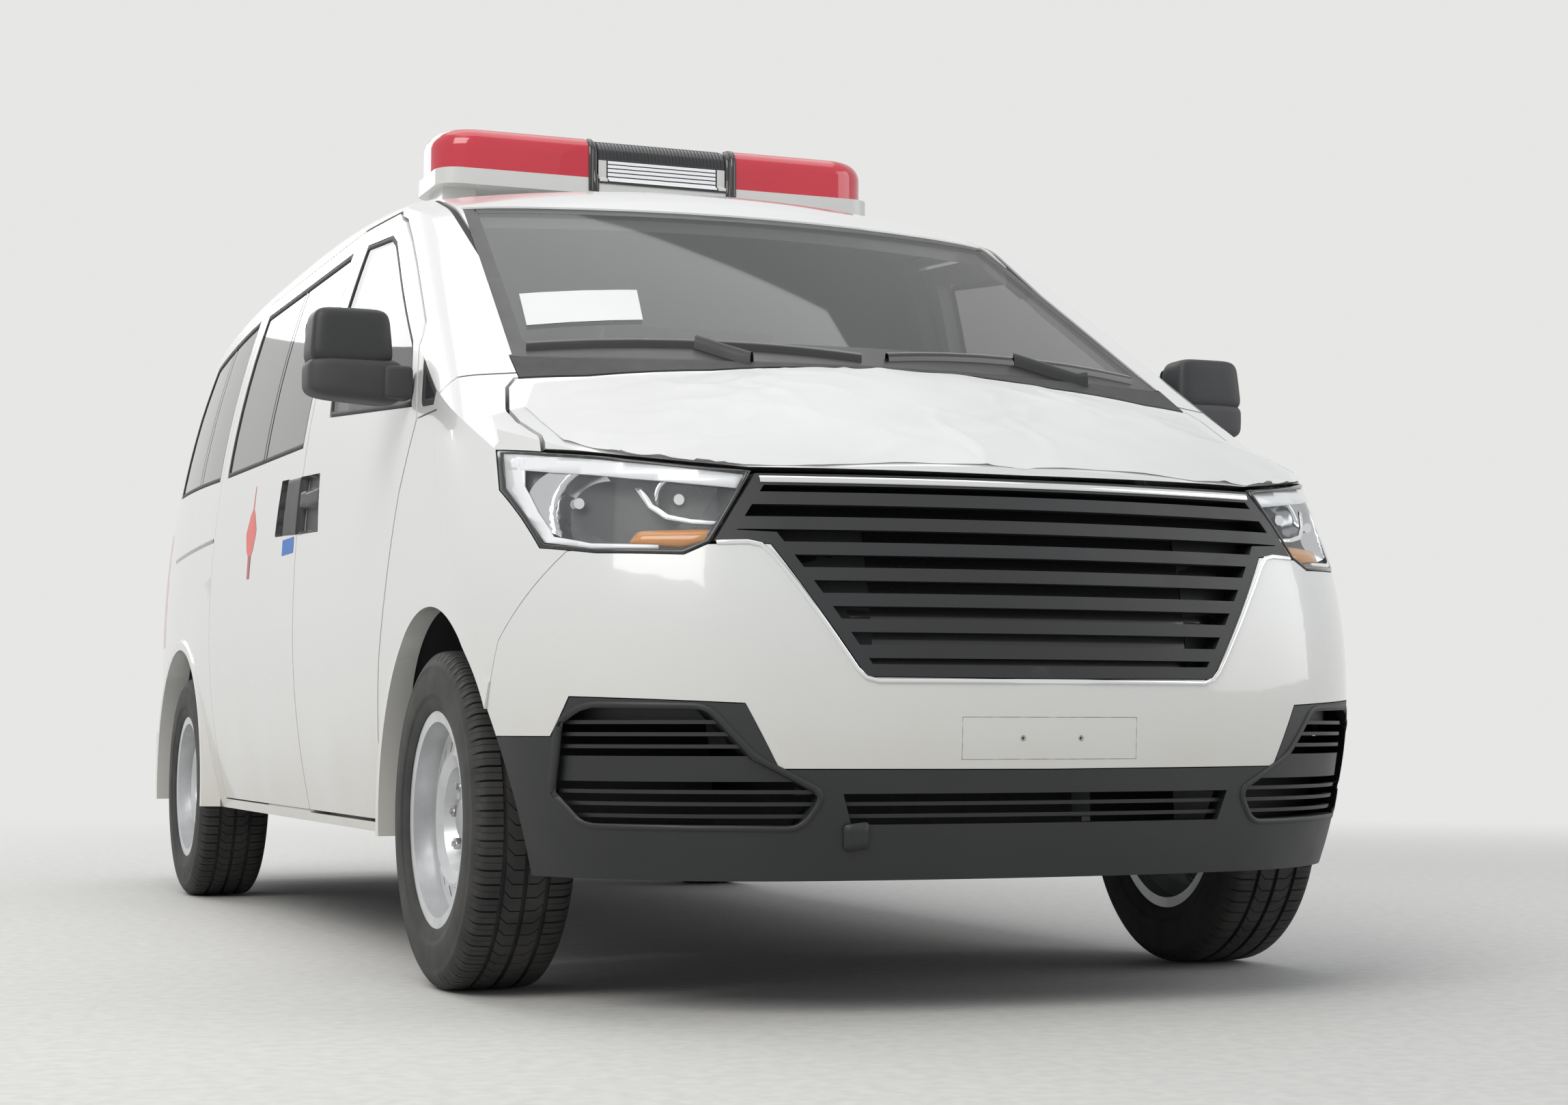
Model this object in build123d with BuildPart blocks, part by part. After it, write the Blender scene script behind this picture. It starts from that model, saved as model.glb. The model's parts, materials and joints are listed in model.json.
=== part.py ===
from build123d import *
import os
from math import cos, hypot, radians, sin, sqrt

# Ambulance van: +Z up, front towards -Y, driver's side +X, origin on the ground below the middle
# of the overall box. Millimetres.

# Overall sizes
LENGTH = 5150.0
NOSE_Y = -LENGTH / 2
TAIL_Y = LENGTH / 2
FRONT_AXLE_Y = -1690.0
WHEELBASE = 3200.0
REAR_AXLE_Y = FRONT_AXLE_Y + WHEELBASE

# Wheels and tyres
TYRE_R = 342.0
TYRE_W = 215.0
HUB_Z = TYRE_R
BEAD_R = 203.0
RIM_FLANGE_R = 219.0
RIM_W = 190.0
RIM_SKIN = 9.0
FRONT_TRACK_X = 842.0
REAR_TRACK_X = 830.0
KINGPIN_INSET = 90.0
HUB_R = 52.0

# Side section: belt, waist and cantrail of the body at its widest
SILL_X, SILL_Z = 888.0, 240.0
BELT_X, BELT_Z = 958.0, 790.0
WAIST_X, WAIST_Z = 925.0, 1250.0
CANT_X, CANT_Z = 767.0, 1862.0
SECTION_TOP_Z = 2100.0
REAR_TAPER_Y = 910.0
REAR_TAPER_R = 14000.0
REAR_TAPER_SWEEP = 7.5
BODY_BOTTOM_Z = 292.0

# Nose: plan radius, lean radius and the height of its foremost line
NOSE_R = 2200.0
NOSE_LEAN_R = 1000.0
NOSE_Z = 560.0
NOSE_LOW_Z, NOSE_TOP_Z = 150.0, 1150.0
CORNER_R = 590.0

# Crown: the roof is revolved about one long low axis, the windscreen and bonnet about another
ROOF_AXIS_Z = -2575.0
NOSE_AXIS_Z = -1575.0
CROWN_HALF_ANGLE = 30.0
ROOF_PEAK = (324.0, 1923.0)
ROOF_FRONT = (-860.0, 1850.0)
ROOF_REAR = (2100.0, 1872.0)
HEADER = (-945.0, 1807.5)
BROW = (-872.0, 1840.0)
BONNET_REAR = (-1850.0, 1285.0)
BONNET_LIP = (-2480.0, 1008.0)
BONNET_R = 2200.0
CANTRAIL_R = 85.0

# Windscreen pillar: edge where the side meets the windscreen, rounded off
PILLAR_LOW = (921.0, -1623.0, 1271.0)
PILLAR_HIGH = (821.0, -945.0, 1706.0)
PILLAR_POINT = (880.0, -1284.0, 1488.0)
PILLAR_LEAN = 15.7
PILLAR_TURN = 63.0
PILLAR_R = 150.0

# Tail
TAIL_FACE_Y = 2520.0
TAIL_R = 3445.0
TAIL_LOW_Z = 560.0
TAIL_WAIST = (2430.0, 1275.0)
TAIL_TOP = (2190.0, 1830.0)
TAIL_CORNER_R = 150.0

# Thicknesses and clearances
WALL = 45.0
GLASS = 5.0
GLASS_INSET = 4.0
GLASS_EDGE = 0.4
SEAM = 4.0
DOOR_GAP = 8.0
TOUCH = 0.3
BIG = 1400.0

# Roof panel between the drip mouldings
DITCH_X = 708.0
DITCH_W = 18.0
DITCH_DEPTH = 5.0

# Wheel arches
ARCH_R = 430.0
FLARE_X = 956.0
FLARE_R = 500.0
LINER = 12.0
LINER_GAP = 12.0

# Front door in side view, (y, z), from its low front corner round to the rear
DOOR_FRONT_EDGE = [(-1150, 322), (-1180, 506), (-1245, 682), (-1287, 773), (-1391, 1033), (-1480, 1178)]
DOOR_PILLAR_EDGE = [(-1388, 1368), (-1352, 1404), (-1094, 1575), (-960, 1662), (-860, 1724), (-760, 1762)]
DOOR_REAR_EDGE = [(-353, 1788), (-309, 1300), (-309, 322)]
DOOR_GLASS = [(-1424, 1212), (-1334, 1368), (-1191, 1462), (-960, 1614), (-859, 1676), (-778, 1706),
              (-468, 1736), (-440, 1560), (-535, 1288)]
DOOR_HINGE = (940.0, -1440.0)
QUARTER_GLASS = [(-1508, 1202), (-1622, 1194), (-1630, 1222), (-1462, 1318)]

# Sliding door and rear side glass, (y, z)
SLIDE_DOOR = [(-301, 322), (-301, 1300), (-337, 1790), (930, 1794), (955, 1300), (955, 900), (905, 322)]
SLIDE_GLASS = [(-254, 1240), (-290, 1748), (870, 1754), (872, 1262)]
REAR_GLASS = [(1000, 1264), (1002, 1762), (1900, 1730), (2010, 1560), (2080, 1300)]

# Handle recess across both doors and what stands in it, (y, z)
HANDLE = [(-562, 1004), (-522, 1152), (-30, 1176), (-10, 1028)]
GRIPS = [[(-600, 1080), (-309, 1084), (-309, 1116), (-600, 1112)],
         [(-290, 900), (-290, 1300), (-130, 1300), (-120, 900)]]
HANDLE_DEPTH = 20.0

# Wing and body side meet on this line ahead of the door, (y, z)
WING_TOP_EDGE = [(-1480, 1178), (-1655, 1178), (-1662, 1246), (-1810, 1268)]

# Windscreen glass in plan, half outline (x, y)
SCREEN_TOP_MID_Y = -1012.0
SCREEN_TOP_CORNER = (685.0, -897.0)
SCREEN_LOW_CORNER = (772.0, -1649.0)
SCREEN_LOW_MID_Y = -1838.0

# Bonnet in plan, half outline (x, y), from its rear middle round to the nose, and its front edge (x, z)
BONNET_PLAN = [(0, -1858), (400, -1838), (650, -1790), (790, -1740), (812, -1765), (833, -1843), (842, -1950),
               (837, -2026), (832, -2066), (839, -2116), (846, -2300)]
BONNET_FRONT = [(0, 1004), (531, 1008), (631, 1020), (728, 1035), (836, 1056), (900, 1072), (1000, 1100)]
BONNET_TOP_Z = 1500.0

# Headlamps, front view half outline (x, z)
LAMP_OUTLINE = [(531, 1000), (631, 1012), (728, 1027), (836, 1048), (897, 1064), (904, 982), (886, 923),
                (869, 863), (795, 849), (664, 843), (620, 864), (577, 930)]

# Grille in front view (x, z)
GRILLE_HALF = [(0, 618), (361, 620), (516, 862), (612, 867), (571, 930), (525, 995), (0, 995)]
SLAT_COUNT = 7
SLAT_H = 24.0
GRILLE_FRAME = 22.0

# Bumper: side-view edge against the wing (y, z), front-view edge against the cladding (x, z)
BUMPER_EDGE = [(-2060, 240), (-2060, 560), (-2106, 690), (-2244, 853)]
CLADDING_EDGE = [(0, 450), (517, 452), (577, 570), (840, 583), (862, 510), (1000, 510)]
BUMPER_BOTTOM_Z, BUMPER_TOP_Z = 250.0, 868.0
FOG_RECESS = [(640, 560), (820, 564), (848, 536), (850, 409), (808, 353), (474, 351), (440, 405), (562, 470),
              (592, 504)]
LOWER_GRILLE = [(0, 408), (400, 408), (382, 352), (0, 352)]
FOG_SLATS = [(364, 371), (386, 393), (408, 415), (430, 476), (490, 497), (512, 519), (534, 541)]
LOWER_SLATS = FOG_SLATS[:2]
SLAT_DEPTH, SLAT_T = 12.0, 16.0
PLATE_W, PLATE_H = 370.0, 84.0
PLATE_Z, REAR_PLATE_Z = 508.0, 700.0
PLATE_HOLE_SPACING = 120.0
PLATE_HOLE_R = 3.5

# Rear end
TAILGATE_HALF_W = 730.0
TAILGATE_LOW_Z = 520.0
TAILGATE_TOP_HALF_W = 590.0
TAILGATE_TOP = (2112.0, 1868.0)
TAIL_GLASS = [(560, 1300), (500, 1740)]
TAIL_LAMP = (775.0, 800.0, 905.0, 1180.0)
REAR_BUMPER_H = (330.0, 510.0)

# Light bar
BAR_HALF = 609.0
BAR_Y = -250.0
BAR_DEPTH = 270.0
BAR_BASE_Z = 1932.0
BAR_BASE_H = 42.0
BAR_TOP_Z = 2085.0
BAR_MIDDLE_HALF = 192.0

BAR_FOOT_X = 540.0

# Door mirrors and mud flaps
MIRROR_X = (962.0, 1150.0)
MIRROR_Y = (-1420.0, -1300.0)
MIRROR_Z = (1222.0, 1425.0)
MIRROR_ARM_Y = (-1426.0, -1360.0)
MIRROR_ARM_Z = (1228.0, 1302.0)
FLAP_X = (690.0, 785.0)
FLAP_Z = (190.0, 420.0)
FLAP_T = 8.0

# Frame and running gear
RAIL_X = 430.0
RAIL_W, RAIL_H = 80.0, 80.0
RAIL_LOW = 405.0
RAIL_OUT = RAIL_X + RAIL_W / 2
FRAME_TOP = 525.0
FRAME_FRONT_Y, FRAME_REAR_Y = -2380.0, 2380.0
CROSS_Y = (-2355.0, -800.0, 250.0, 1000.0, 2020.0, 2340.0)
CROSS_W = 60.0
DISC_R, DISC_T = 140.0, 22.0
KNUCKLE_Z = (262.0, 452.0)
ARM_T = 26.0
ARM_HALF_W = 80.0
AXLE_R = 45.0
AXLE_TRAVEL = 25.0
DIFF_R = 130.0
DRUM_R = 130.0
DRUM_X = 740.0
SPRING_X, SPRING_W, SPRING_T = 560.0, 60.0, 32.0
SPRING_Y = (950.0, 2100.0)
SPRING_EYE_Z = 420.0
ENGINE_X = 240.0
ENGINE_Y = (-2120.0, -1500.0)
ENGINE_TOP = 1000.0
RADIATOR_X = 330.0
RADIATOR_Y = (-2380.0, -2330.0)
RADIATOR_TOP = 940.0
GEARBOX_X = 120.0
GEARBOX_Y = (-1500.0, -850.0)
GEARBOX_TOP = 540.0
SHAFT_R = 35.0
EXHAUST_X, EXHAUST_Z = 240.0, 425.0
MUFFLER_R, PIPE_R = 58.0, 20.0
MUFFLER_Y = (180.0, 780.0)
EXHAUST_END_Y = 2280.0
TANK_X = (-650.0, -130.0)
TANK_Y = (330.0, 930.0)
TANK_LOW = 262.0

# Front carrier and hinges
CARRIER_T = 14.0
CARRIER_REAR_Y = -2120.0
CARRIER_Z = (540.0, 985.0)
CARRIER_OPENING = (330.0, 600.0, 940.0)
DOOR_BRACKET = (-1330.0, -1250.0, 740.0, 790.0)
HINGE_W = 36.0
BONNET_HINGE_X = 480.0
TAILGATE_HINGE_X = 420.0

# Rims and tyres: (distance out from the wheel's middle, radius), slots round the disc
RIM_PROFILE = [(95, 219), (88, 219), (84, 205), (50, 203), (42, 186), (-30, 186), (-60, 203), (-84, 205),
               (-88, 219), (-95, 219), (-93, 197), (-62, 194), (-34, 177), (16, 177), (16, 172), (24, 168),
               (43, 160), (51, 130), (43, 110), (16, 98), (16, 46), (25, 46), (25, 92), (52, 105), (62, 130),
               (52, 168), (38, 177), (46, 194), (93, 197)]
RIM_HUB_X = 16.0
SLOT_R, SLOT_COUNT, SLOT_L, SLOT_W = 148.0, 18, 22.0, 12.0
GROOVES = (-45.0, 0.0, 45.0)
GROOVE_W, GROOVE_DEPTH = 9.0, 9.0

# Cabin
FLOOR_Z = 600.0
FLOOR_T = 30.0
FLOOR_HALF_W = 850.0
FLOOR_FRONT_Y, FLOOR_REAR_Y = -1240.0, 2380.0
WELL_X = 680.0
FRONT_WELL_X = 520.0
FIREWALL = [(-1240, FLOOR_Z), (-1320, 800), (-1440, 1040), (-1640, 1130), (-1810, 1155), (-1810, 1280)]
FIREWALL_T = 25.0
COWL_PLAN = [(0, -1880), (400, -1860), (650, -1812), (784, -1765), (776, -1640), (0, -1700)]
DASH = [(-1810, 1165), (-1345, 1165), (-1290, 1080), (-1300, 880), (-1345, 850)] + FIREWALL[2:5]
DASH_HALF_W = 790.0
POST = [(-372, 300), (-372, 1300), (-408, 1830), (-262, 1830), (-232, 1300), (-232, 300)]
POST_GAP, POST_T = 6.0, 40.0
PARTITION_Y = (-300.0, -270.0)
PARTITION_WINDOW = (350.0, 1200.0, 1600.0)
SEAT_X = 430.0
SEAT_W = 500.0
SEAT_BASE_Y = (-860.0, -440.0)
CUSHION_Z = (720.0, 850.0)
SEAT_SIDE = [(-940, 730), (-940, 850), (-520, 830), (-440, 1440), (-340, 1440), (-380, 720), (-860, 720)]
BENCH_X = (420.0, 780.0)
BENCH_Y = (-150.0, 1000.0)
BENCH_Z = 960.0
STRETCHER_W = 560.0
STRETCHER_Y = (250.0, 2180.0)
STRETCHER_Z = 900.0
STEER_RIM_R = 14.0
STEER_HUB_T = 24.0
COLUMN_R = 40.0
STEER_WHEEL_R = 190.0
STEER_CENTRE = (430.0, -1130.0, 1120.0)
STEER_RAKE = 38.0

os.makedirs("parts", exist_ok=True)


def save(piece, name):
    """Label a finished piece and write its STEP file."""
    piece.part.label = name
    export_step(piece.part, f"parts/{name}.step")


def upright(edge):
    """True for an edge that climbs more than it runs."""
    return abs((edge @ 1).Z - (edge @ 0).Z) > 0.5 * edge.length


# Outer form

def half_section():
    """Closed right half of the body's cross-section, x and z."""
    with BuildLine() as line:
        TangentArc((BELT_X, BELT_Z), (SILL_X, SILL_Z), tangent=(0, -1))
        waist = TangentArc((BELT_X, BELT_Z), (WAIST_X, WAIST_Z), tangent=(0, 1))
        cant = TangentArc(waist @ 1, (CANT_X, CANT_Z), tangent=waist % 1)
        slope = cant % 1
        top = Line(cant @ 1, (cant @ 1) + slope * ((SECTION_TOP_Z - CANT_Z) / slope.Y))
        Polyline(top @ 1, (0, SECTION_TOP_Z), (0, SILL_Z), (SILL_X, SILL_Z))
    return line


def section(plane, inset):
    """Half of the body's cross-section on a plane, moved inwards by inset."""
    with BuildSketch(plane) as sketch:
        add(half_section().line)
        make_face()
        mirror(about=Plane.YZ)
        if inset:
            offset(amount=-inset, kind=Kind.INTERSECTION)
        with Locations((BELT_X / 2, SECTION_TOP_Z / 2)):
            Rectangle(BELT_X, 2 * SECTION_TOP_Z, mode=Mode.INTERSECT)
    return sketch


def sides(inset):
    """Both sides over the whole length, with the plan taper behind the rear doors."""
    with BuildPart() as body:
        middle = section(Plane.XZ.offset(-REAR_TAPER_Y), inset)
        extrude(middle.sketch, amount=REAR_TAPER_Y - NOSE_Y + WALL)
        centre = (BELT_X - REAR_TAPER_R, REAR_TAPER_Y, 0)
        revolve(middle.sketch, axis=Axis(centre, (0, 0, 1)), revolution_arc=REAR_TAPER_SWEEP)
        mirror(about=Plane.YZ)
    return body


def radial_plane(axis_y, angle, sense):
    """Upright plane through a vertical axis at (0, axis_y), turned by angle from the Y direction."""
    turn = radians(angle)
    x = (sin(turn), sense * cos(turn), 0)
    return Plane(origin=(0, axis_y, 0), x_dir=x, z_dir=(x[1], -x[0], 0))


def moved_right(point, tangent, distance):
    """Point moved square to a tangent, to the right of its direction of travel."""
    run = hypot(tangent.X, tangent.Y)
    return point + Vector(tangent.Y / run, -tangent.X / run) * distance


def nose_cutter(inset):
    """All that lies ahead of the nose."""
    axis_y = NOSE_Y + NOSE_R
    lean_r = NOSE_LEAN_R - inset

    def reach(height):
        return NOSE_R - NOSE_LEAN_R + sqrt(lean_r**2 - (height - NOSE_Z) ** 2)

    with BuildPart() as cutter:
        with BuildSketch(radial_plane(axis_y, -60, -1)) as face:
            with BuildLine():
                low = (reach(NOSE_LOW_Z), NOSE_LOW_Z)
                high = (reach(NOSE_TOP_Z), NOSE_TOP_Z)
                arc = ThreePointArc(low, (NOSE_R - inset, NOSE_Z), high)
                slope = arc % 1
                up = Line(arc @ 1, (arc @ 1) + slope * (1000 / slope.Y))
                Polyline(up @ 1, (NOSE_R + 900, (up @ 1).Y), (NOSE_R + 900, NOSE_LOW_Z), low)
            make_face()
        revolve(face.sketch, axis=Axis((0, axis_y, 0), (0, 0, 1)), revolution_arc=120)
    return cutter


def tail_cutter(inset):
    """All that lies behind the tail."""
    axis_y = TAIL_FACE_Y - TAIL_R
    waist = Vector(TAIL_WAIST[0] - axis_y, TAIL_WAIST[1])
    top = Vector(TAIL_TOP[0] - axis_y, TAIL_TOP[1])
    panel = TangentArc((TAIL_R, TAIL_LOW_Z), waist, tangent=(0, 1))
    glass = TangentArc(waist, top, tangent=panel % 1)
    with BuildPart() as cutter:
        with BuildSketch(radial_plane(axis_y, 30, 1)) as face:
            with BuildLine():
                low = Line((TAIL_R - inset, NOSE_LOW_Z), (TAIL_R - inset, TAIL_LOW_Z))
                lower = TangentArc(low @ 1, moved_right(waist, panel % 1, -inset), tangent=(0, 1))
                upper = TangentArc(lower @ 1, moved_right(top, glass % 1, -inset), tangent=lower % 1)
                slope = upper % 1
                up = Line(upper @ 1, (upper @ 1) + slope * (300 / slope.Y))
                Polyline(up @ 1, (TAIL_R + 600, (up @ 1).Y), (TAIL_R + 600, NOSE_LOW_Z), low @ 0)
            make_face()
        revolve(face.sketch, axis=Axis((0, axis_y, 0), (0, 0, 1)), revolution_arc=60)
    return cutter


def roof_line(up, inset):
    """Closed outline above the roof, y and distance from the crown axis."""
    peak = Vector(ROOF_PEAK[0], ROOF_PEAK[1] + up)
    front = Vector(ROOF_FRONT[0], ROOF_FRONT[1] + up)
    rear = Vector(ROOF_REAR[0], ROOF_REAR[1] + up)
    fore = TangentArc(peak, front, tangent=(-1, 0)) % 1
    aft = TangentArc(peak, rear, tangent=(1, 0)) % 1
    with BuildLine() as line:
        low_peak = peak - Vector(0, inset)
        ahead = TangentArc(low_peak, moved_right(front, fore, -inset), tangent=(-1, 0))
        nose = Line(ahead @ 1, (ahead @ 1) + (ahead % 1) * 2000)
        behind = TangentArc(low_peak, moved_right(rear, aft, inset), tangent=(1, 0))
        tail = Line(behind @ 1, (behind @ 1) + (behind % 1) * 900)
        top = up + 2600
        Polyline(tail @ 1, ((tail @ 1).X, top), ((nose @ 1).X, top), nose @ 1)
    return line


def nose_line(up, inset):
    """Closed outline above the bonnet and windscreen, y and distance from the crown axis."""
    lip = Vector(BONNET_LIP[0], BONNET_LIP[1] + up)
    scuttle = Vector(BONNET_REAR[0], BONNET_REAR[1] + up)
    header = Vector(HEADER[0], HEADER[1] + up)
    roof = Vector(BROW[0], BROW[1] + up)
    panel = RadiusArc(lip, scuttle, BONNET_R)
    glass = (header - scuttle).normalized()
    bend = TangentArc(header, roof, tangent=glass)
    with BuildLine() as line:
        bonnet_start = moved_right(lip, panel % 0, inset)
        bonnet = RadiusArc(bonnet_start, moved_right(scuttle, panel % 1, inset), BONNET_R - inset)
        slope = bonnet % 0
        nose = Line((bonnet @ 0) - slope * (350 / slope.X), bonnet @ 0)
        screen = Line(moved_right(scuttle, glass, inset), moved_right(header, glass, inset))
        if inset:
            Line(bonnet @ 1, screen @ 0)
        brow = TangentArc(screen @ 1, moved_right(roof, bend % 1, inset), tangent=glass)
        rise = Line(brow @ 1, (brow @ 1) + (brow % 1) * 300)
        top = up + 2400
        Polyline(rise @ 1, ((rise @ 1).X, top), ((nose @ 0).X, top), nose @ 0)
    return line


def crown(outline, axis_z, inset):
    """All that lies above an outline revolved about a long low axis."""
    turn = radians(-CROWN_HALF_ANGLE)
    plane = Plane(origin=(0, 0, axis_z), x_dir=(0, 1, 0), z_dir=(cos(turn), 0, -sin(turn)))
    with BuildPart() as cutter:
        with BuildSketch(plane) as face:
            add(outline(-axis_z, inset).line)
            make_face()
        axis = Axis((0, 0, axis_z), (0, 1, 0))
        revolve(face.sketch, axis=axis, revolution_arc=2 * CROWN_HALF_ANGLE)
    return cutter


def pillar_cutter(inset):
    """What lies outside the rounded windscreen pillars."""
    run = (Vector(*PILLAR_HIGH) - Vector(*PILLAR_LOW)).normalized()
    lean = radians(PILLAR_LEAN)
    side = Vector(cos(lean), 0, sin(lean))
    side = (side - run * side.dot(run)).normalized()
    half = radians(PILLAR_TURN / 2)
    outward = side * cos(half) - run.cross(side) * sin(half)
    centre = Vector(*PILLAR_POINT) - outward * (PILLAR_R / cos(half))
    with BuildPart() as cutter:
        with BuildSketch(Plane(origin=centre - run * 800, x_dir=side, z_dir=run)) as face:
            with BuildLine():
                near = CenterArc((0, 0), PILLAR_R - inset, -PILLAR_TURN, PILLAR_TURN)
                far = CenterArc((0, 0), 2 * PILLAR_R, -PILLAR_TURN, PILLAR_TURN)
                Line(near @ 0, far @ 0)
                Line(near @ 1, far @ 1)
            make_face()
        extrude(face.sketch, amount=1600)
        mirror(about=Plane.YZ)
    return cutter


def envelope(inset):
    """The van's closed outer form, moved inwards by inset; inside, roof and walls meet without a round."""
    with BuildPart() as body:
        add(sides(inset).part)
        add(nose_cutter(inset).part, mode=Mode.SUBTRACT)
        add(tail_cutter(inset).part, mode=Mode.SUBTRACT)
        front = body.edges().filter_by(lambda e: upright(e) and e.center().Y < -1500 and abs(e.center().X) > 600)
        fillet(front, radius=CORNER_R - inset)
        rear = body.edges().filter_by(lambda e: upright(e) and e.center().Y > 1900 and abs(e.center().X) > 500)
        fillet(rear, radius=TAIL_CORNER_R - inset)
        add(crown(roof_line, ROOF_AXIS_Z, inset).part, mode=Mode.SUBTRACT)
        if not inset:
            fillet(body.edges().filter_by(roof_rim), radius=CANTRAIL_R)
        add(crown(nose_line, NOSE_AXIS_Z, inset).part, mode=Mode.SUBTRACT)
        add(pillar_cutter(inset).part, mode=Mode.SUBTRACT)
    return body


def roof_rim(edge):
    """True for the edges between the roof and the walls."""
    middle = edge @ 0.5
    inner_seam = abs(middle.X) < 5 and middle.Y < 2000 and (edge @ 0).Z > 1800
    return middle.Z > 1500 and not upright(edge) and not inner_seam and edge.geom_type != GeomType.CIRCLE


OUTER = envelope(0).part
INNER = envelope(WALL).part
with BuildPart() as shell_solid:
    add(OUTER)
    add(INNER, mode=Mode.SUBTRACT)
SHELL = shell_solid.part


def side_prism(points, grow=0.0, low=0.0, high=BIG):
    """Solid with a side-view outline (y, z), from x = low to x = high on the driver's side."""
    with BuildPart() as prism:
        with BuildSketch(Plane.YZ.offset(low)) as face:
            with BuildLine():
                Polyline(*points, close=True)
            make_face()
            if grow:
                offset(amount=grow, kind=Kind.INTERSECTION)
        extrude(face.sketch, amount=high - low)
    return prism.part


def front_prism(points, near, far, grow=0.0, both=True):
    """Solid with a front-view half outline (x, z), mirrored, from y = near to y = far."""
    with BuildPart() as prism:
        with BuildSketch(Plane.XZ.offset(-far)) as face:
            with BuildLine():
                Polyline(*points, close=True)
            make_face()
            if both:
                mirror(about=Plane.YZ)
            if grow:
                offset(amount=grow, kind=Kind.INTERSECTION)
        extrude(face.sketch, amount=far - near)
    return prism.part


def plan_prism(points, low, high, grow=0.0):
    """Solid with a plan half outline (x, y), mirrored, between two heights."""
    with BuildPart() as prism:
        with BuildSketch(Plane.XY.offset(low)) as face:
            with BuildLine():
                Polyline(*points, close=True)
            make_face()
            mirror(about=Plane.YZ)
            if grow:
                offset(amount=grow, kind=Kind.INTERSECTION)
        extrude(face.sketch, amount=high - low)
    return prism.part


def screen_prism(grow):
    """The windscreen's outline in plan, between heights that clear the roof and bonnet."""
    with BuildPart() as prism:
        with BuildSketch(Plane.XY.offset(WAIST_Z - 250)) as face:
            with BuildLine():
                x, y = SCREEN_LOW_CORNER
                low = ThreePointArc((-x, y), (0, SCREEN_LOW_MID_Y), (x, y))
                x, y = SCREEN_TOP_CORNER
                top = ThreePointArc((-x, y), (0, SCREEN_TOP_MID_Y), (x, y))
                Line(low @ 0, top @ 0)
                Line(low @ 1, top @ 1)
            make_face()
            if grow:
                offset(amount=grow, kind=Kind.INTERSECTION)
        extrude(face.sketch, amount=1200)
    return prism.part


def cylinder_x(y, z, radius, low, high):
    """Cylinder along X between two x values."""
    with BuildPart() as rod:
        with BuildSketch(Plane.YZ.offset(low)) as face:
            with Locations((y, z)):
                Circle(radius)
        extrude(face.sketch, amount=high - low)
    return rod.part


def block(x0, x1, y0, y1, z0, z1, radius=0.0):
    """Rectangular block between corners, with rounded upright edges if asked."""
    with BuildPart() as solid:
        with BuildSketch(Plane.XY.offset(z0)) as face:
            with Locations(((x0 + x1) / 2, (y0 + y1) / 2)):
                if radius:
                    RectangleRounded(x1 - x0, y1 - y0, radius)
                else:
                    Rectangle(x1 - x0, y1 - y0)
        extrude(face.sketch, amount=z1 - z0)
    return solid.part


def thin_sides(depth, thickness):
    """Curved sheet that follows both sides at a depth below the skin."""
    with BuildPart() as sheet:
        add(sides(depth).part)
        add(sides(depth + thickness).part, mode=Mode.SUBTRACT)
    return sheet.part


DOOR = DOOR_FRONT_EDGE + DOOR_PILLAR_EDGE + DOOR_REAR_EDGE
WING = [(NOSE_Y - 50, BODY_BOTTOM_Z), (-1148, BODY_BOTTOM_Z)] + DOOR_FRONT_EDGE + WING_TOP_EDGE[1:]
WING = WING + [(-1862, 1290), (-1900, 1400), (NOSE_Y - 50, 1400)]
BUMPER = BUMPER_EDGE + [(NOSE_Y - 50, BUMPER_TOP_Z), (NOSE_Y - 50, BUMPER_EDGE[0][1])]
CLADDING = CLADDING_EDGE + [(1000, 200), (0, 200)]
BONNET_OUTLINE = BONNET_PLAN + [(BONNET_PLAN[-1][0], NOSE_Y - 60), (0, NOSE_Y - 60)]
BONNET_FACE = BONNET_FRONT + [(1000, BONNET_TOP_Z), (0, BONNET_TOP_Z)]
TAILGATE_OUTLINE = [(0, TAILGATE_LOW_Z), (TAILGATE_HALF_W, TAILGATE_LOW_Z), (TAILGATE_HALF_W, 1240),
                    (TAILGATE_TOP_HALF_W, TAILGATE_TOP[1] - 32), (TAILGATE_TOP_HALF_W, 2000), (0, 2000)]
TAIL_GLASS_OUTLINE = [(0, TAIL_GLASS[0][1])] + TAIL_GLASS + [(0, TAIL_GLASS[1][1])]
x0, z0, x1, z1 = TAIL_LAMP
TAIL_LAMP_OUTLINE = [(x0, z0), (x1 + 40, z0), (x1 + 40, z1), (x0 - 14, z1)]
NOSE_NEAR = NOSE_Y - 60
TAIL_FAR = TAIL_Y + 60

LAMP_PRISM = front_prism(LAMP_OUTLINE, NOSE_NEAR, -1950)
LAMP_HOLE = front_prism(LAMP_OUTLINE, NOSE_NEAR, -1950, SEAM / 2)
GRILLE_HOLE = front_prism(GRILLE_HALF, NOSE_NEAR, -2300, SEAM / 2)
SCREEN_HOLE = screen_prism(0)
TAILGATE_HOLE = front_prism(TAILGATE_OUTLINE, TAILGATE_TOP[0] - DOOR_GAP, TAIL_FAR, DOOR_GAP)
TAIL_LAMP_HOLE = front_prism(TAIL_LAMP_OUTLINE, 2150, TAIL_FAR, SEAM / 8)
FRONT_ARCH = cylinder_x(FRONT_AXLE_Y, HUB_Z, ARCH_R, 400, BIG)
REAR_ARCH = cylinder_x(REAR_AXLE_Y, HUB_Z, ARCH_R, 400, BIG)


def bonnet_prism(grow):
    """What lies inside the bonnet's outline, seen from above and from the front."""
    with BuildPart() as prism:
        add(plan_prism(BONNET_OUTLINE, 900, BONNET_TOP_Z, grow))
        add(front_prism(BONNET_FACE, NOSE_NEAR - 100, BONNET_PLAN[3][1] + 100, grow), mode=Mode.INTERSECT)
    return prism.part


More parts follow.
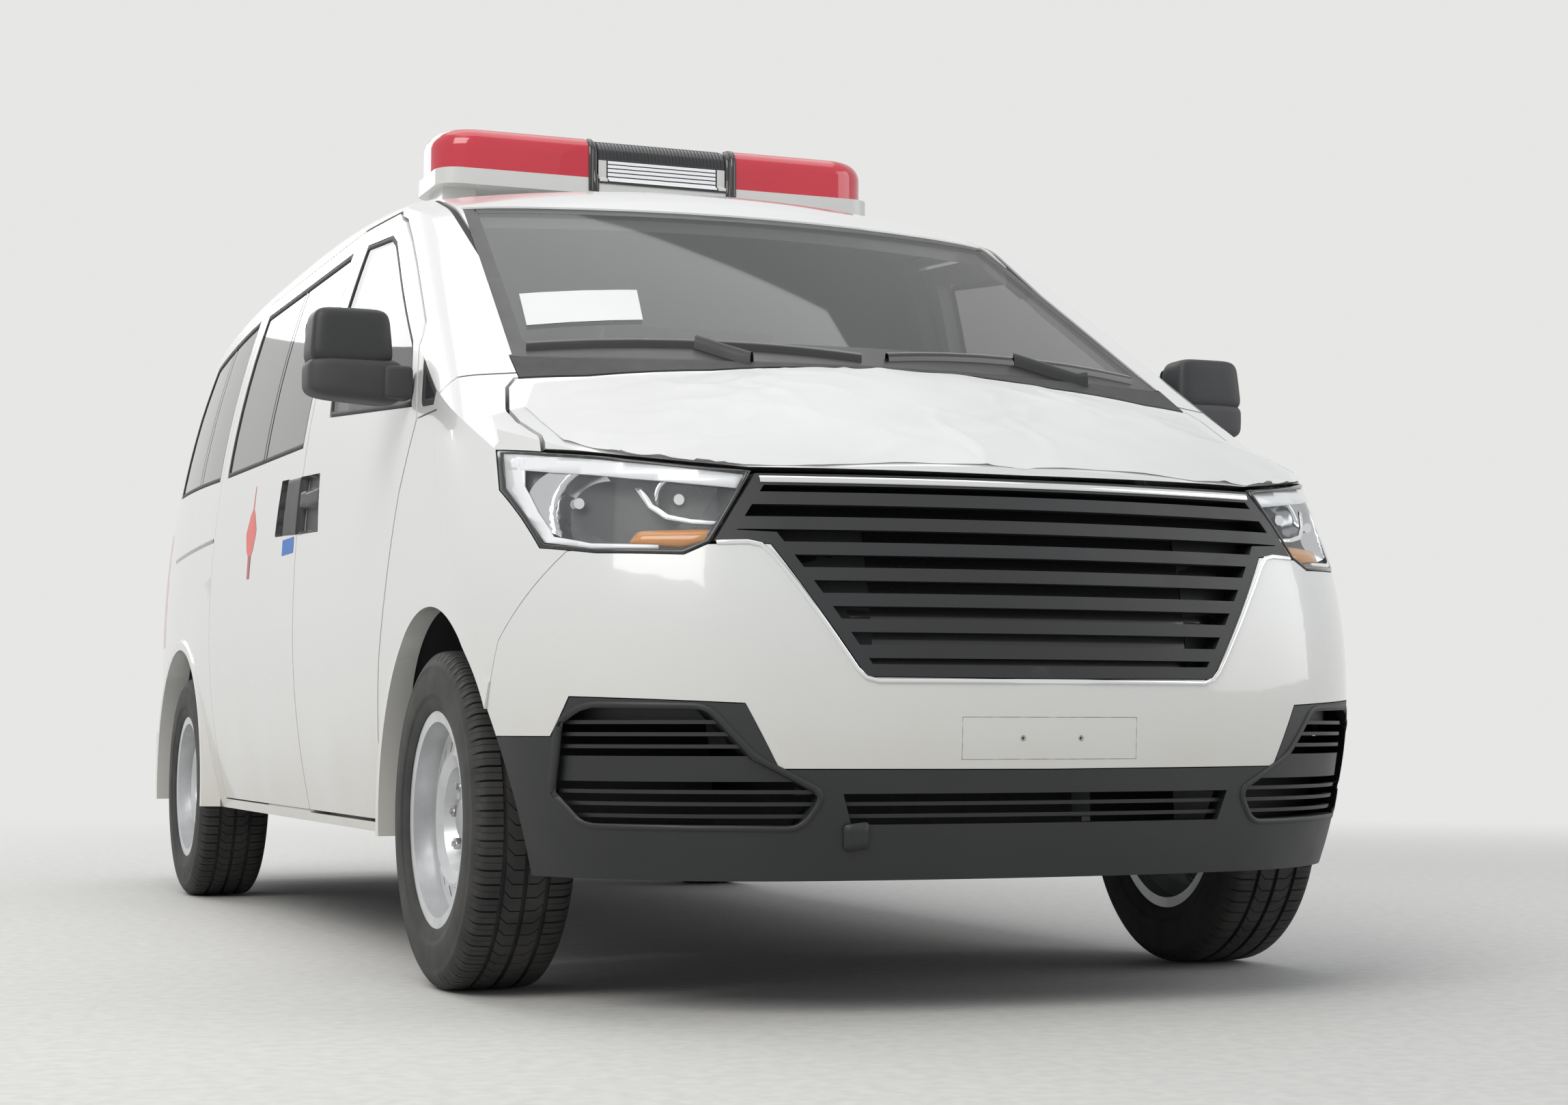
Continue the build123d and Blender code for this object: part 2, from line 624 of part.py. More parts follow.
BONNET_PRISM = bonnet_prism(0)
BONNET_HOLE = bonnet_prism(DOOR_GAP)
COWL_PRISM = plan_prism(COWL_PLAN, 1100, 1400)
COWL_HOLE = plan_prism(COWL_PLAN, 1100, 1400, SEAM / 2)


def flare(axle_y):
    """Pressed lip round a wheel arch, coned back into the side."""
    with BuildPart() as lip:
        with BuildSketch(Plane.XZ.offset(-axle_y)) as face:
            with BuildLine():
                Polyline((FLARE_X - 50, HUB_Z + ARCH_R), (FLARE_X, HUB_Z + ARCH_R),
                         (FLARE_X, HUB_Z + ARCH_R + 25), (FLARE_X - 50, HUB_Z + FLARE_R), close=True)
            make_face()
        revolve(face.sketch, axis=Axis((0, axle_y, HUB_Z), (1, 0, 0)), revolution_arc=360)
        add(block(0, BIG, axle_y - BIG, axle_y + BIG, -BIG, BODY_BOTTOM_Z), mode=Mode.SUBTRACT)
        add(INNER, mode=Mode.SUBTRACT)
    return lip.part


def carved(base, keep, cuts):
    """Base kept inside one solid and cut by others, with stray slivers dropped."""
    with BuildPart() as piece:
        add(base)
        add(keep, mode=Mode.INTERSECT)
        for cut in cuts:
            add(cut, mode=Mode.SUBTRACT)
    return piece.part.solids().sort_by(SortBy.VOLUME)[-1]


def pair(solid, name):
    """Save a driver's side solid and its mirror image as one node."""
    with BuildPart() as both:
        add(solid)
        mirror(about=Plane.YZ)
    save(both, name)


def plate_holes(height, near):
    """The two screw holes of a number plate, 200 mm long from y = near."""
    with BuildPart() as holes:
        with BuildSketch(Plane.XZ.offset(-near)) as face:
            with Locations((-PLATE_HOLE_SPACING / 2, height), (PLATE_HOLE_SPACING / 2, height)):
                Circle(PLATE_HOLE_R)
        extrude(face.sketch, amount=-200)
    return holes.part


def right_and_left(solid, name):
    """Save a driver's side solid and its mirror image as two nodes."""
    with BuildPart() as left:
        add(solid)
    save(left, name + "_left")
    with BuildPart() as right:
        mirror(solid, about=Plane.YZ)
    save(right, name + "_right")


# Nose

with BuildPart() as wing_blank:
    add(SHELL)
    add(side_prism(WING), mode=Mode.INTERSECT)
    add(flare(FRONT_AXLE_Y))
wing_cuts = [side_prism(BUMPER, SEAM / 2), side_prism(DOOR, DOOR_GAP, 500), FRONT_ARCH, BONNET_HOLE, LAMP_HOLE]
wing_cuts += [GRILLE_HOLE, SCREEN_HOLE, COWL_HOLE]
half_space = block(560, BIG, NOSE_NEAR, 0, 0, 2000)
pair(carved(wing_blank.part, half_space, wing_cuts), "front_wings")

with BuildPart() as bumper_blank:
    add(SHELL)
    add(side_prism(BUMPER, 0, -BIG), mode=Mode.INTERSECT)
    add(FRONT_ARCH, mode=Mode.SUBTRACT)
    mirror(FRONT_ARCH, about=Plane.YZ, mode=Mode.SUBTRACT)
CLADDING_PRISM = front_prism(CLADDING, NOSE_NEAR, -1950)
with BuildPart() as bumper_cut:
    add(bumper_blank.part)
    for cut in (front_prism(CLADDING, NOSE_NEAR, -1950, SEAM / 2), LAMP_HOLE, GRILLE_HOLE):
        add(cut, mode=Mode.SUBTRACT)
    add(block(-BIG, BIG, NOSE_NEAR, -1950, GRILLE_HALF[-1][1], 1200), mode=Mode.SUBTRACT)
    add(block(-PLATE_W / 2, PLATE_W / 2, NOSE_Y + 0.5, NOSE_Y + 30, PLATE_Z - PLATE_H / 2, PLATE_Z + PLATE_H / 2))
    add(plate_holes(PLATE_Z, NOSE_NEAR), mode=Mode.SUBTRACT)
with BuildPart() as front_bumper:
    add(bumper_cut.part.solids().sort_by(SortBy.VOLUME)[-1])
save(front_bumper, "front_bumper")

with BuildPart() as slat_sheet:
    add(envelope(SLAT_DEPTH).part)
    add(envelope(SLAT_DEPTH + SLAT_T).part, mode=Mode.SUBTRACT)
    add(block(-BIG, BIG, NOSE_NEAR, -1950, BUMPER_BOTTOM_Z, CLADDING_EDGE[3][1]), mode=Mode.INTERSECT)
SLAT_SHEET = slat_sheet.part
with BuildPart() as bumper_cladding:
    add(bumper_blank.part)
    add(CLADDING_PRISM, mode=Mode.INTERSECT)
    add(block(-BIG, BIG, NOSE_NEAR, -1950, 0, BUMPER_BOTTOM_Z), mode=Mode.SUBTRACT)
    for outline in (FOG_RECESS, LOWER_GRILLE):
        add(front_prism(outline, NOSE_NEAR, -1950), mode=Mode.SUBTRACT)
    for outline, rows in ((FOG_RECESS, FOG_SLATS), (LOWER_GRILLE, LOWER_SLATS)):
        opening = front_prism(outline, NOSE_NEAR, -1950, TOUCH)
        for low, high in rows:
            with BuildPart(mode=Mode.PRIVATE) as slat:
                add(SLAT_SHEET)
                add(block(-BIG, BIG, NOSE_NEAR, -1950, low, high), mode=Mode.INTERSECT)
                add(opening, mode=Mode.INTERSECT)
            add(slat.part)
save(bumper_cladding, "bumper_cladding")

with BuildPart() as radiator_grille:
    add(SHELL)
    add(front_prism(GRILLE_HALF, NOSE_NEAR, -2300), mode=Mode.INTERSECT)
    with BuildSketch(Plane.XZ.offset(-NOSE_NEAR)) as gaps:
        with BuildLine():
            Polyline(*GRILLE_HALF, close=True)
        make_face()
        mirror(about=Plane.YZ)
        offset(amount=-GRILLE_FRAME, kind=Kind.INTERSECTION)
        low, high = GRILLE_HALF[0][1], GRILLE_HALF[-1][1]
        pitch = (high - low) / (SLAT_COUNT + 1)
        for number in range(1, SLAT_COUNT + 1):
            with Locations((0, low + pitch * number)):
                Rectangle(2 * BIG, SLAT_H, mode=Mode.SUBTRACT)
    extrude(gaps.sketch, amount=-300, mode=Mode.SUBTRACT)
save(radiator_grille, "radiator_grille")

LAMP_BLOCK = carved(SHELL, LAMP_PRISM, [block(-BIG, 0, NOSE_NEAR, 0, 0, 2000)])
LAMP_SHIFT = (-8.0, 9.0, 0.0)
with BuildPart() as lens_half:
    add(LAMP_BLOCK)
    add(LAMP_BLOCK.moved(Location(LAMP_SHIFT)), mode=Mode.SUBTRACT)
pair(lens_half.part.solids().sort_by(SortBy.VOLUME)[-1], "headlamp_lenses")
with BuildPart() as housing_half:
    add(LAMP_BLOCK.moved(Location(LAMP_SHIFT)))
    add(LAMP_BLOCK, mode=Mode.INTERSECT)
pair(housing_half.part.solids().sort_by(SortBy.VOLUME)[-1], "headlamp_housings")

with BuildPart() as bonnet:
    add(SHELL)
    add(BONNET_PRISM, mode=Mode.INTERSECT)
save(bonnet, "bonnet")

# Glass

SIDE_SHEET = thin_sides(GLASS_INSET, GLASS)
with BuildPart() as screen_sheet:
    add(crown(nose_line, NOSE_AXIS_Z, GLASS_INSET + GLASS).part)
    add(crown(nose_line, NOSE_AXIS_Z, GLASS_INSET).part, mode=Mode.SUBTRACT)
with BuildPart() as windscreen:
    add(screen_sheet.part)
    add(screen_prism(-GLASS_EDGE), mode=Mode.INTERSECT)
save(windscreen, "windscreen")
with BuildPart() as tail_sheet:
    add(tail_cutter(GLASS_INSET + GLASS).part)
    add(tail_cutter(GLASS_INSET).part, mode=Mode.SUBTRACT)
with BuildPart() as tailgate_glass:
    add(tail_sheet.part)
    add(front_prism(TAIL_GLASS_OUTLINE, 1900, TAIL_FAR, -GLASS_EDGE), mode=Mode.INTERSECT)
save(tailgate_glass, "tailgate_glass")
with BuildPart() as side_windows:
    for outline in (QUARTER_GLASS, SLIDE_GLASS, REAR_GLASS):
        add(carved(SIDE_SHEET, side_prism(outline, -GLASS_EDGE), []))
    mirror(about=Plane.YZ)
save(side_windows, "side_windows")
right_and_left(carved(SIDE_SHEET, side_prism(DOOR_GLASS, -GLASS_EDGE), []), "door_glass")

# Doors and tailgate

DOOR_TOP_X = DITCH_X + DITCH_W / 2 + DOOR_GAP
with BuildPart() as pocket:
    add(side_prism(HANDLE, 0, 500))
    add(envelope(HANDLE_DEPTH).part, mode=Mode.SUBTRACT)
    for grip in GRIPS:
        add(side_prism(grip, 0, 500), mode=Mode.SUBTRACT)
POCKET = pocket.part
right_and_left(carved(SHELL, side_prism(DOOR, 0, DOOR_TOP_X), [side_prism(DOOR_GLASS), POCKET]), "front_door")
pair(carved(SHELL, side_prism(SLIDE_DOOR, 0, DOOR_TOP_X), [side_prism(SLIDE_GLASS), POCKET]), "sliding_doors")
with BuildPart() as tailgate:
    add(SHELL)
    add(front_prism(TAILGATE_OUTLINE, TAILGATE_TOP[0], TAIL_FAR), mode=Mode.INTERSECT)
    add(front_prism(TAIL_GLASS_OUTLINE, 1900, TAIL_FAR), mode=Mode.SUBTRACT)
    add(plate_holes(REAR_PLATE_Z, TAIL_FAR - 200), mode=Mode.SUBTRACT)
save(tailgate, "tailgate")

# Body sides, roof and tail

with BuildPart() as side_blank:
    add(SHELL)
    add(flare(REAR_AXLE_Y))
side_cuts = [side_prism(WING, SEAM), side_prism(DOOR, DOOR_GAP, 500), side_prism(SLIDE_DOOR, SEAM, 500)]
side_cuts += [side_prism(QUARTER_GLASS, 0, 500), side_prism(REAR_GLASS, 0, 500)]
side_cuts += [REAR_ARCH, SCREEN_HOLE, BONNET_HOLE, COWL_HOLE, TAILGATE_HOLE, TAIL_LAMP_HOLE]
side_cuts += [block(-DITCH_X, DITCH_X + DITCH_W / 2, -2000, ROOF_REAR[0], 1500, 2000)]
side_cuts += [block(-DITCH_X - 60, DITCH_X + 60, -2000, TAIL_FAR, 0, TAILGATE_LOW_Z)]
side_keep = block(560, BIG, -2000, TAIL_Y, BODY_BOTTOM_Z, 2000)
right_and_left(carved(side_blank.part, side_keep, side_cuts), "body_side")

with BuildPart() as roof_panel:
    add(SHELL)
    half = DITCH_X - DITCH_W / 2
    add(block(-half, half, -1200, ROOF_REAR[0] - TOUCH, 1600, 2000), mode=Mode.INTERSECT)
    add(SCREEN_HOLE, mode=Mode.SUBTRACT)
    add(TAILGATE_HOLE, mode=Mode.SUBTRACT)
save(roof_panel, "roof_panel")

with BuildPart() as ditch:
    add(envelope(DITCH_DEPTH).part)
    add(INNER, mode=Mode.SUBTRACT)
    half = DITCH_W / 2 - TOUCH
    add(block(DITCH_X - half, DITCH_X + half, -1200, ROOF_REAR[0] - TOUCH, 1600, 2000), mode=Mode.INTERSECT)
    add(SCREEN_HOLE, mode=Mode.SUBTRACT)
    add(TAILGATE_HOLE, mode=Mode.SUBTRACT)
pair(ditch.part.solids().sort_by(SortBy.VOLUME)[-1], "roof_ditch_strips")

tail_lamp_prism = front_prism(TAIL_LAMP_OUTLINE, 2150, TAIL_FAR)
pair(carved(SHELL, tail_lamp_prism, [block(-BIG, 0, 0, TAIL_FAR, 0, 2000)]), "tail_lamps")

with BuildPart() as rear_bumper:
    with BuildSketch(Plane.XY.offset(REAR_BUMPER_H[0])) as bar:
        with BuildLine():
            outer = ThreePointArc((-900, TAIL_Y - 190), (0, TAIL_Y), (900, TAIL_Y - 190))
            Polyline(outer @ 1, (900, 2200), (-900, 2200), outer @ 0)
        make_face()
        fillet(bar.vertices().filter_by(lambda v: v.Y > 2300), radius=60)
    extrude(bar.sketch, amount=REAR_BUMPER_H[1] - REAR_BUMPER_H[0])
    add(OUTER, mode=Mode.SUBTRACT)
    valance = block(-DITCH_X - 56, DITCH_X + 56, 2200, TAIL_FAR, BODY_BOTTOM_Z, TAILGATE_LOW_Z - DOOR_GAP)
    add(carved(SHELL, valance, []))
save(rear_bumper, "rear_bumper")

# Cabin

WELL_R = ARCH_R + LINER_GAP
with BuildPart() as post:
    add(thin_sides(WALL + POST_GAP, POST_T))
    add(side_prism(POST, 0, 500), mode=Mode.INTERSECT)
    add(INNER, mode=Mode.INTERSECT)
post_solid = post.part.solids().sort_by(SortBy.VOLUME)[-1]
POSTS = [post_solid, post_solid.mirror(Plane.YZ)]

with BuildPart() as floor_pan:
    add(block(-FLOOR_HALF_W, FLOOR_HALF_W, FLOOR_FRONT_Y, FLOOR_REAR_Y, FLOOR_Z - FLOOR_T, FLOOR_Z))
    add(block(-BIG, BIG, REAR_TAPER_Y + 100, FLOOR_REAR_Y, FLOOR_Z - FLOOR_T, FLOOR_Z))
    for y in CROSS_Y[1:]:
        add(block(-FLOOR_HALF_W, FLOOR_HALF_W, y - CROSS_W / 2, y + CROSS_W / 2, FRAME_TOP, FLOOR_Z - FLOOR_T))
    well = cylinder_x(REAR_AXLE_Y, HUB_Z, WELL_R, WELL_X, BIG)
    housing = cylinder_x(REAR_AXLE_Y, HUB_Z, WELL_R + LINER, WELL_X - LINER, BIG)
    for side in (housing, mirror(housing, about=Plane.YZ, mode=Mode.PRIVATE)):
        add(side)
    for side in (well, mirror(well, about=Plane.YZ, mode=Mode.PRIVATE)):
        add(side, mode=Mode.SUBTRACT)
    add(block(-BIG, BIG, -BIG, 2 * BIG, 0, BODY_BOTTOM_Z + 20), mode=Mode.SUBTRACT)
    slot = (REAR_AXLE_Y - AXLE_R - AXLE_TRAVEL, REAR_AXLE_Y + AXLE_R + AXLE_TRAVEL, 0, HUB_Z + AXLE_R + AXLE_TRAVEL)
    add(block(-WELL_X - 1, WELL_X + 1, *slot), mode=Mode.SUBTRACT)
    add(INNER, mode=Mode.INTERSECT)
    for side in POSTS:
        add(side, mode=Mode.SUBTRACT)
save(floor_pan, "floor_pan")

with BuildPart() as liner_half:
    add(cylinder_x(FRONT_AXLE_Y, HUB_Z, WELL_R + LINER, FRONT_WELL_X - LINER, BIG))
    add(cylinder_x(FRONT_AXLE_Y, HUB_Z, WELL_R, FRONT_WELL_X, BIG), mode=Mode.SUBTRACT)
    add(block(0, BIG, -2 * BIG, 0, -BIG, BODY_BOTTOM_Z + 20), mode=Mode.SUBTRACT)
    arms = (FRONT_AXLE_Y - ARM_HALF_W - 15, FRONT_AXLE_Y + ARM_HALF_W + 15, 0, KNUCKLE_Z[1] + ARM_T + 15)
    add(block(FRONT_WELL_X - LINER - 1, FRONT_WELL_X + 1, *arms), mode=Mode.SUBTRACT)
    add(INNER, mode=Mode.INTERSECT)
pair(liner_half.part, "front_wheel_liners")

CARRIER_INNER = envelope(WALL + CARRIER_T).part
with BuildPart() as bonnet_room:
    add(BONNET_HOLE)
    add(CARRIER_INNER, mode=Mode.SUBTRACT)
with BuildPart() as firewall:
    with BuildSketch(Plane.YZ.offset(-FLOOR_HALF_W)) as face:
        with BuildLine():
            back = Polyline(*FIREWALL)
            front = offset(back, amount=FIREWALL_T, side=Side.LEFT)
        make_face()
    extrude(face.sketch, amount=2 * FLOOR_HALF_W)
    add(INNER, mode=Mode.INTERSECT)
    for side in (1, -1):
        blank = cylinder_x(FRONT_AXLE_Y, HUB_Z, WELL_R + LINER + TOUCH, FRONT_WELL_X - LINER - TOUCH, BIG)
        add(blank if side > 0 else blank.mirror(Plane.YZ), mode=Mode.SUBTRACT)
    add(bonnet_room.part, mode=Mode.SUBTRACT)
with BuildPart() as cowl:
    add(SHELL)
    add(COWL_PRISM, mode=Mode.INTERSECT)
    add(SCREEN_HOLE, mode=Mode.SUBTRACT)
    add(BONNET_HOLE, mode=Mode.SUBTRACT)
with BuildPart() as firewall_and_cowl:
    add(firewall.part)
    add(cowl.part)
save(firewall_and_cowl, "firewall_and_cowl")

with BuildPart() as partition:
    add(block(-FLOOR_HALF_W, FLOOR_HALF_W, *PARTITION_Y, FLOOR_Z, 2000))
    add(block(-PARTITION_WINDOW[0], PARTITION_WINDOW[0], *PARTITION_Y, *PARTITION_WINDOW[1:]), mode=Mode.SUBTRACT)
    add(INNER, mode=Mode.INTERSECT)
    for side in POSTS:
        add(side, mode=Mode.SUBTRACT)
with BuildPart() as partition_and_posts:
    add(partition.part)
    for side in POSTS:
        add(side)
save(partition_and_posts, "partition_and_posts")

with BuildPart() as seat:
    x0, x1 = SEAT_X - SEAT_W / 2, SEAT_X + SEAT_W / 2
    add(block(x0 + 40, x1 - 40, *SEAT_BASE_Y, FLOOR_Z, CUSHION_Z[0]))
    with BuildSketch(Plane.YZ.offset(x0)) as face:
        with BuildLine():
            Polyline(*SEAT_SIDE, close=True)
        make_face()
        fillet(face.vertices(), radius=30)
    extrude(face.sketch, amount=SEAT_W)
pair(seat.part, "cab_seats")

with BuildPart() as bench:
    add(block(*BENCH_X, *BENCH_Y, FLOOR_Z, BENCH_Z))
    add(block(BENCH_X[0] - 10, BENCH_X[1], *BENCH_Y, BENCH_Z, BENCH_Z + 80, 30))
    add(block(BENCH_X[1] - 90, BENCH_X[1], *BENCH_Y, BENCH_Z + 80, BENCH_Z + 480, 30))

with BuildPart() as stretcher:
    for x in (-STRETCHER_W / 2 + 60, STRETCHER_W / 2 - 60):
        for y in (STRETCHER_Y[0] + 200, STRETCHER_Y[1] - 300):
            add(block(x - 20, x + 20, y - 20, y + 20, FLOOR_Z, STRETCHER_Z))
    add(block(-STRETCHER_W / 2, STRETCHER_W / 2, *STRETCHER_Y, STRETCHER_Z, STRETCHER_Z + 40, 60))
    add(block(20 - STRETCHER_W / 2, STRETCHER_W / 2 - 20, STRETCHER_Y[0] + 20, STRETCHER_Y[1] - 20,
              STRETCHER_Z + 40, STRETCHER_Z + 110, 60))
with BuildPart() as couches:
    add(bench.part)
    add(stretcher.part)
save(couches, "bench_and_stretcher")

rake = radians(STEER_RAKE)
COLUMN = Vector(0, -cos(rake), -sin(rake))
STEER_PLANE = Plane(origin=STEER_CENTRE, x_dir=(1, 0, 0), z_dir=COLUMN)
with BuildPart() as steering_wheel:
    with BuildSketch(Plane(origin=STEER_CENTRE, x_dir=(1, 0, 0), z_dir=STEER_PLANE.y_dir)) as face:
        with Locations((STEER_WHEEL_R, 0)):
            Circle(STEER_RIM_R)
    revolve(face.sketch, axis=Axis(STEER_CENTRE, COLUMN), revolution_arc=360)
    with BuildSketch(STEER_PLANE) as hub:
        Circle(COLUMN_R + 15)
        for turn in (0, 180, 270):
            with PolarLocations(STEER_WHEEL_R / 2, 1, turn):
                Rectangle(STEER_WHEEL_R, 34)
    extrude(hub.sketch, amount=STEER_HUB_T)
save(steering_wheel, "steering_wheel")
with BuildPart() as dashboard:
    with BuildSketch(Plane.YZ.offset(-DASH_HALF_W)) as face:
        with BuildLine():
            Polyline(*DASH, close=True)
        make_face()
        fillet(face.vertices().filter_by(lambda v: v.X > -1400 and v.Y > 1000), radius=30)
    extrude(face.sketch, amount=2 * DASH_HALF_W)
    with BuildSketch(STEER_PLANE.offset(STEER_HUB_T + TOUCH)) as face:
        Circle(COLUMN_R)
    extrude(face.sketch, amount=200)
    add(INNER, mode=Mode.INTERSECT)
save(dashboard, "dashboard")

# Wheels


def rim_and_tyre(x, y, name):
    """One road wheel: pressed steel rim with a slotted disc, and its tyre, side by side about an X axis."""
    out = 1 if x > 0 else -1
    axis = Axis((x, y, HUB_Z), (1, 0, 0))
    plane = Plane(origin=(x, y, HUB_Z), x_dir=(out, 0, 0), z_dir=(0, -out, 0))
    with BuildPart() as rim:
        with BuildSketch(plane) as face:
            with BuildLine():
                Polyline(*RIM_PROFILE, close=True)
            make_face()
        revolve(face.sketch, axis=axis, revolution_arc=360)
        with BuildSketch(Plane(origin=(x, y, HUB_Z), x_dir=(0, 1, 0), z_dir=(1, 0, 0))) as holes:
            with PolarLocations(SLOT_R, SLOT_COUNT):
                Rectangle(SLOT_L, SLOT_W)
        extrude(holes.sketch, amount=90, both=True, mode=Mode.SUBTRACT)
    save(rim, "rim_" + name)
    with BuildPart() as tyre:
        with BuildSketch(plane) as face:
            with BuildLine():
                half = TYRE_W / 2
                bead = Line((RIM_W / 2 - 8, RIM_FLANGE_R + TOUCH), (RIM_W / 2 + 2, RIM_FLANGE_R + TOUCH))
                wall = ThreePointArc(bead @ 1, (half, TYRE_R - 62), (half - 16, TYRE_R - 10))
                tread = ThreePointArc(wall @ 1, (half - 22, TYRE_R - 3), (half - 30, TYRE_R - 1))
                crown_line = ThreePointArc(tread @ 1, (0, TYRE_R), (30 - half, TYRE_R - 1))
                shoulder = ThreePointArc(crown_line @ 1, (22 - half, TYRE_R - 3), (16 - half, TYRE_R - 10))
                inner = ThreePointArc(shoulder @ 1, (-half, TYRE_R - 62), (-RIM_W / 2 - 2, RIM_FLANGE_R + TOUCH))
                Polyline(inner @ 1, (8 - RIM_W / 2, RIM_FLANGE_R + TOUCH), (-RIM_W / 2 + 14, TYRE_R - 60),
                         (RIM_W / 2 - 14, TYRE_R - 60), bead @ 0)
            make_face()
            with Locations(*[(u, TYRE_R) for u in GROOVES]):
                Rectangle(GROOVE_W, 2 * GROOVE_DEPTH, mode=Mode.SUBTRACT)
        revolve(face.sketch, axis=axis, revolution_arc=360)
    save(tyre, "tyre_" + name)


for x, y, name in ((FRONT_TRACK_X, FRONT_AXLE_Y, "front_left"), (-FRONT_TRACK_X, FRONT_AXLE_Y, "front_right"),
                   (REAR_TRACK_X, REAR_AXLE_Y, "rear_left"), (-REAR_TRACK_X, REAR_AXLE_Y, "rear_right")):
    rim_and_tyre(x, y, name)

# Running gear

KINGPIN_X = FRONT_TRACK_X - KINGPIN_INSET
HUB_FACE = RIM_HUB_X - TOUCH
with BuildPart() as knuckle:
    add(cylinder_x(FRONT_AXLE_Y, HUB_Z, HUB_R, KINGPIN_X, FRONT_TRACK_X + HUB_FACE))
    add(cylinder_x(FRONT_AXLE_Y, HUB_Z, DISC_R, KINGPIN_X + 30, KINGPIN_X + 30 + DISC_T))
    add(block(KINGPIN_X - 26, KINGPIN_X + 26, FRONT_AXLE_Y - 30, FRONT_AXLE_Y + 30, *KNUCKLE_Z))
    with BuildSketch(Plane.YZ.offset(KINGPIN_X + 14)) as face:
        with BuildLine():
            CenterArc((FRONT_AXLE_Y, HUB_Z), DISC_R + 14, -35, 70)
            CenterArc((FRONT_AXLE_Y, HUB_Z), DISC_R - 55, -35, 70)
            Line((FRONT_AXLE_Y, HUB_Z) + Vector(DISC_R - 55, 0).rotate(Axis.Z, 35),
                 (FRONT_AXLE_Y, HUB_Z) + Vector(DISC_R + 14, 0).rotate(Axis.Z, 35))
            Line((FRONT_AXLE_Y, HUB_Z) + Vector(DISC_R - 55, 0).rotate(Axis.Z, -35),
                 (FRONT_AXLE_Y, HUB_Z) + Vector(DISC_R + 14, 0).rotate(Axis.Z, -35))
        make_face()
    extrude(face.sketch, amount=DISC_T + 34)
right_and_left(knuckle.part.solids()[0], "knuckle")

with BuildPart() as front_suspension:
    beam_low = KNUCKLE_Z[0] - ARM_T - TOUCH
    add(block(-RAIL_OUT, RAIL_OUT, FRONT_AXLE_Y - ARM_HALF_W, FRONT_AXLE_Y + ARM_HALF_W, beam_low, RAIL_LOW))
    for side in (1, -1):
        for level in (KNUCKLE_Z[0], KNUCKLE_Z[1]):
            low = level - ARM_T - TOUCH if level == KNUCKLE_Z[0] else level + TOUCH
            with BuildSketch(Plane.XY.offset(low)) as face:
                with BuildLine():
                    Polyline((side * RAIL_OUT, FRONT_AXLE_Y - ARM_HALF_W), (side * KINGPIN_X, FRONT_AXLE_Y - 26),
                             (side * KINGPIN_X, FRONT_AXLE_Y + 26),
                             (side * RAIL_OUT, FRONT_AXLE_Y + ARM_HALF_W), close=True)
                make_face()
                with Locations((side * KINGPIN_X, FRONT_AXLE_Y)):
                    Circle(26)
            extrude(face.sketch, amount=ARM_T)
save(front_suspension, "front_suspension")

with BuildPart() as rear_axle:
    add(cylinder_x(REAR_AXLE_Y, HUB_Z, AXLE_R, -DRUM_X, DRUM_X))
    with Locations((0, REAR_AXLE_Y, HUB_Z)):
        Sphere(DIFF_R)
    for side in (1, -1):
        for x0, x1, r in ((DRUM_X, REAR_TRACK_X, DRUM_R), (REAR_TRACK_X, REAR_TRACK_X + HUB_FACE, HUB_R + 20)):
            low, high = sorted((side * x0, side * x1))
            add(cylinder_x(REAR_AXLE_Y, HUB_Z, r, low, high))

with BuildPart() as leaf_springs:
    for side in (1, -1):
        with BuildSketch(Plane.YZ.offset(side * SPRING_X - SPRING_W / 2)) as face:
            with BuildLine():
                seat_z = HUB_Z + AXLE_R + TOUCH
                low = ThreePointArc((SPRING_Y[0], SPRING_EYE_Z), (REAR_AXLE_Y, seat_z), (SPRING_Y[1], SPRING_EYE_Z))
                high = ThreePointArc((SPRING_Y[0], SPRING_EYE_Z + SPRING_T), (REAR_AXLE_Y, seat_z + SPRING_T),
                                     (SPRING_Y[1], SPRING_EYE_Z + SPRING_T))
                Line(low @ 0, high @ 0)
                Line(low @ 1, high @ 1)
            make_face()
        extrude(face.sketch, amount=SPRING_W)
        for y in SPRING_Y:
            inner_x, outer_x = sorted((side * RAIL_OUT, side * (SPRING_X + SPRING_W / 2)))
            add(block(inner_x, outer_x, y - 30, y + 30, RAIL_LOW, RAIL_LOW + RAIL_H))
with BuildPart() as axle_and_springs:
    add(rear_axle.part)
    add(leaf_springs.part)
save(axle_and_springs, "rear_axle_and_springs")

with BuildPart() as chassis_frame:
    for x in (-RAIL_X, RAIL_X):
        add(block(x - RAIL_W / 2, x + RAIL_W / 2, FRAME_FRONT_Y, FRAME_REAR_Y, RAIL_LOW, RAIL_LOW + RAIL_H))
    for y in CROSS_Y:
        add(block(-RAIL_OUT, RAIL_OUT, y - CROSS_W / 2, y + CROSS_W / 2, RAIL_LOW + RAIL_H, FRAME_TOP))
    add(block(-RAIL_OUT, RAIL_OUT, GEARBOX_Y[1] - 120, GEARBOX_Y[1] - 60, RAIL_LOW - 50, RAIL_LOW))
save(chassis_frame, "chassis_frame")

with BuildPart() as engine:
    add(block(-ENGINE_X, ENGINE_X, *ENGINE_Y, RAIL_LOW, ENGINE_TOP))
save(engine, "engine_block")

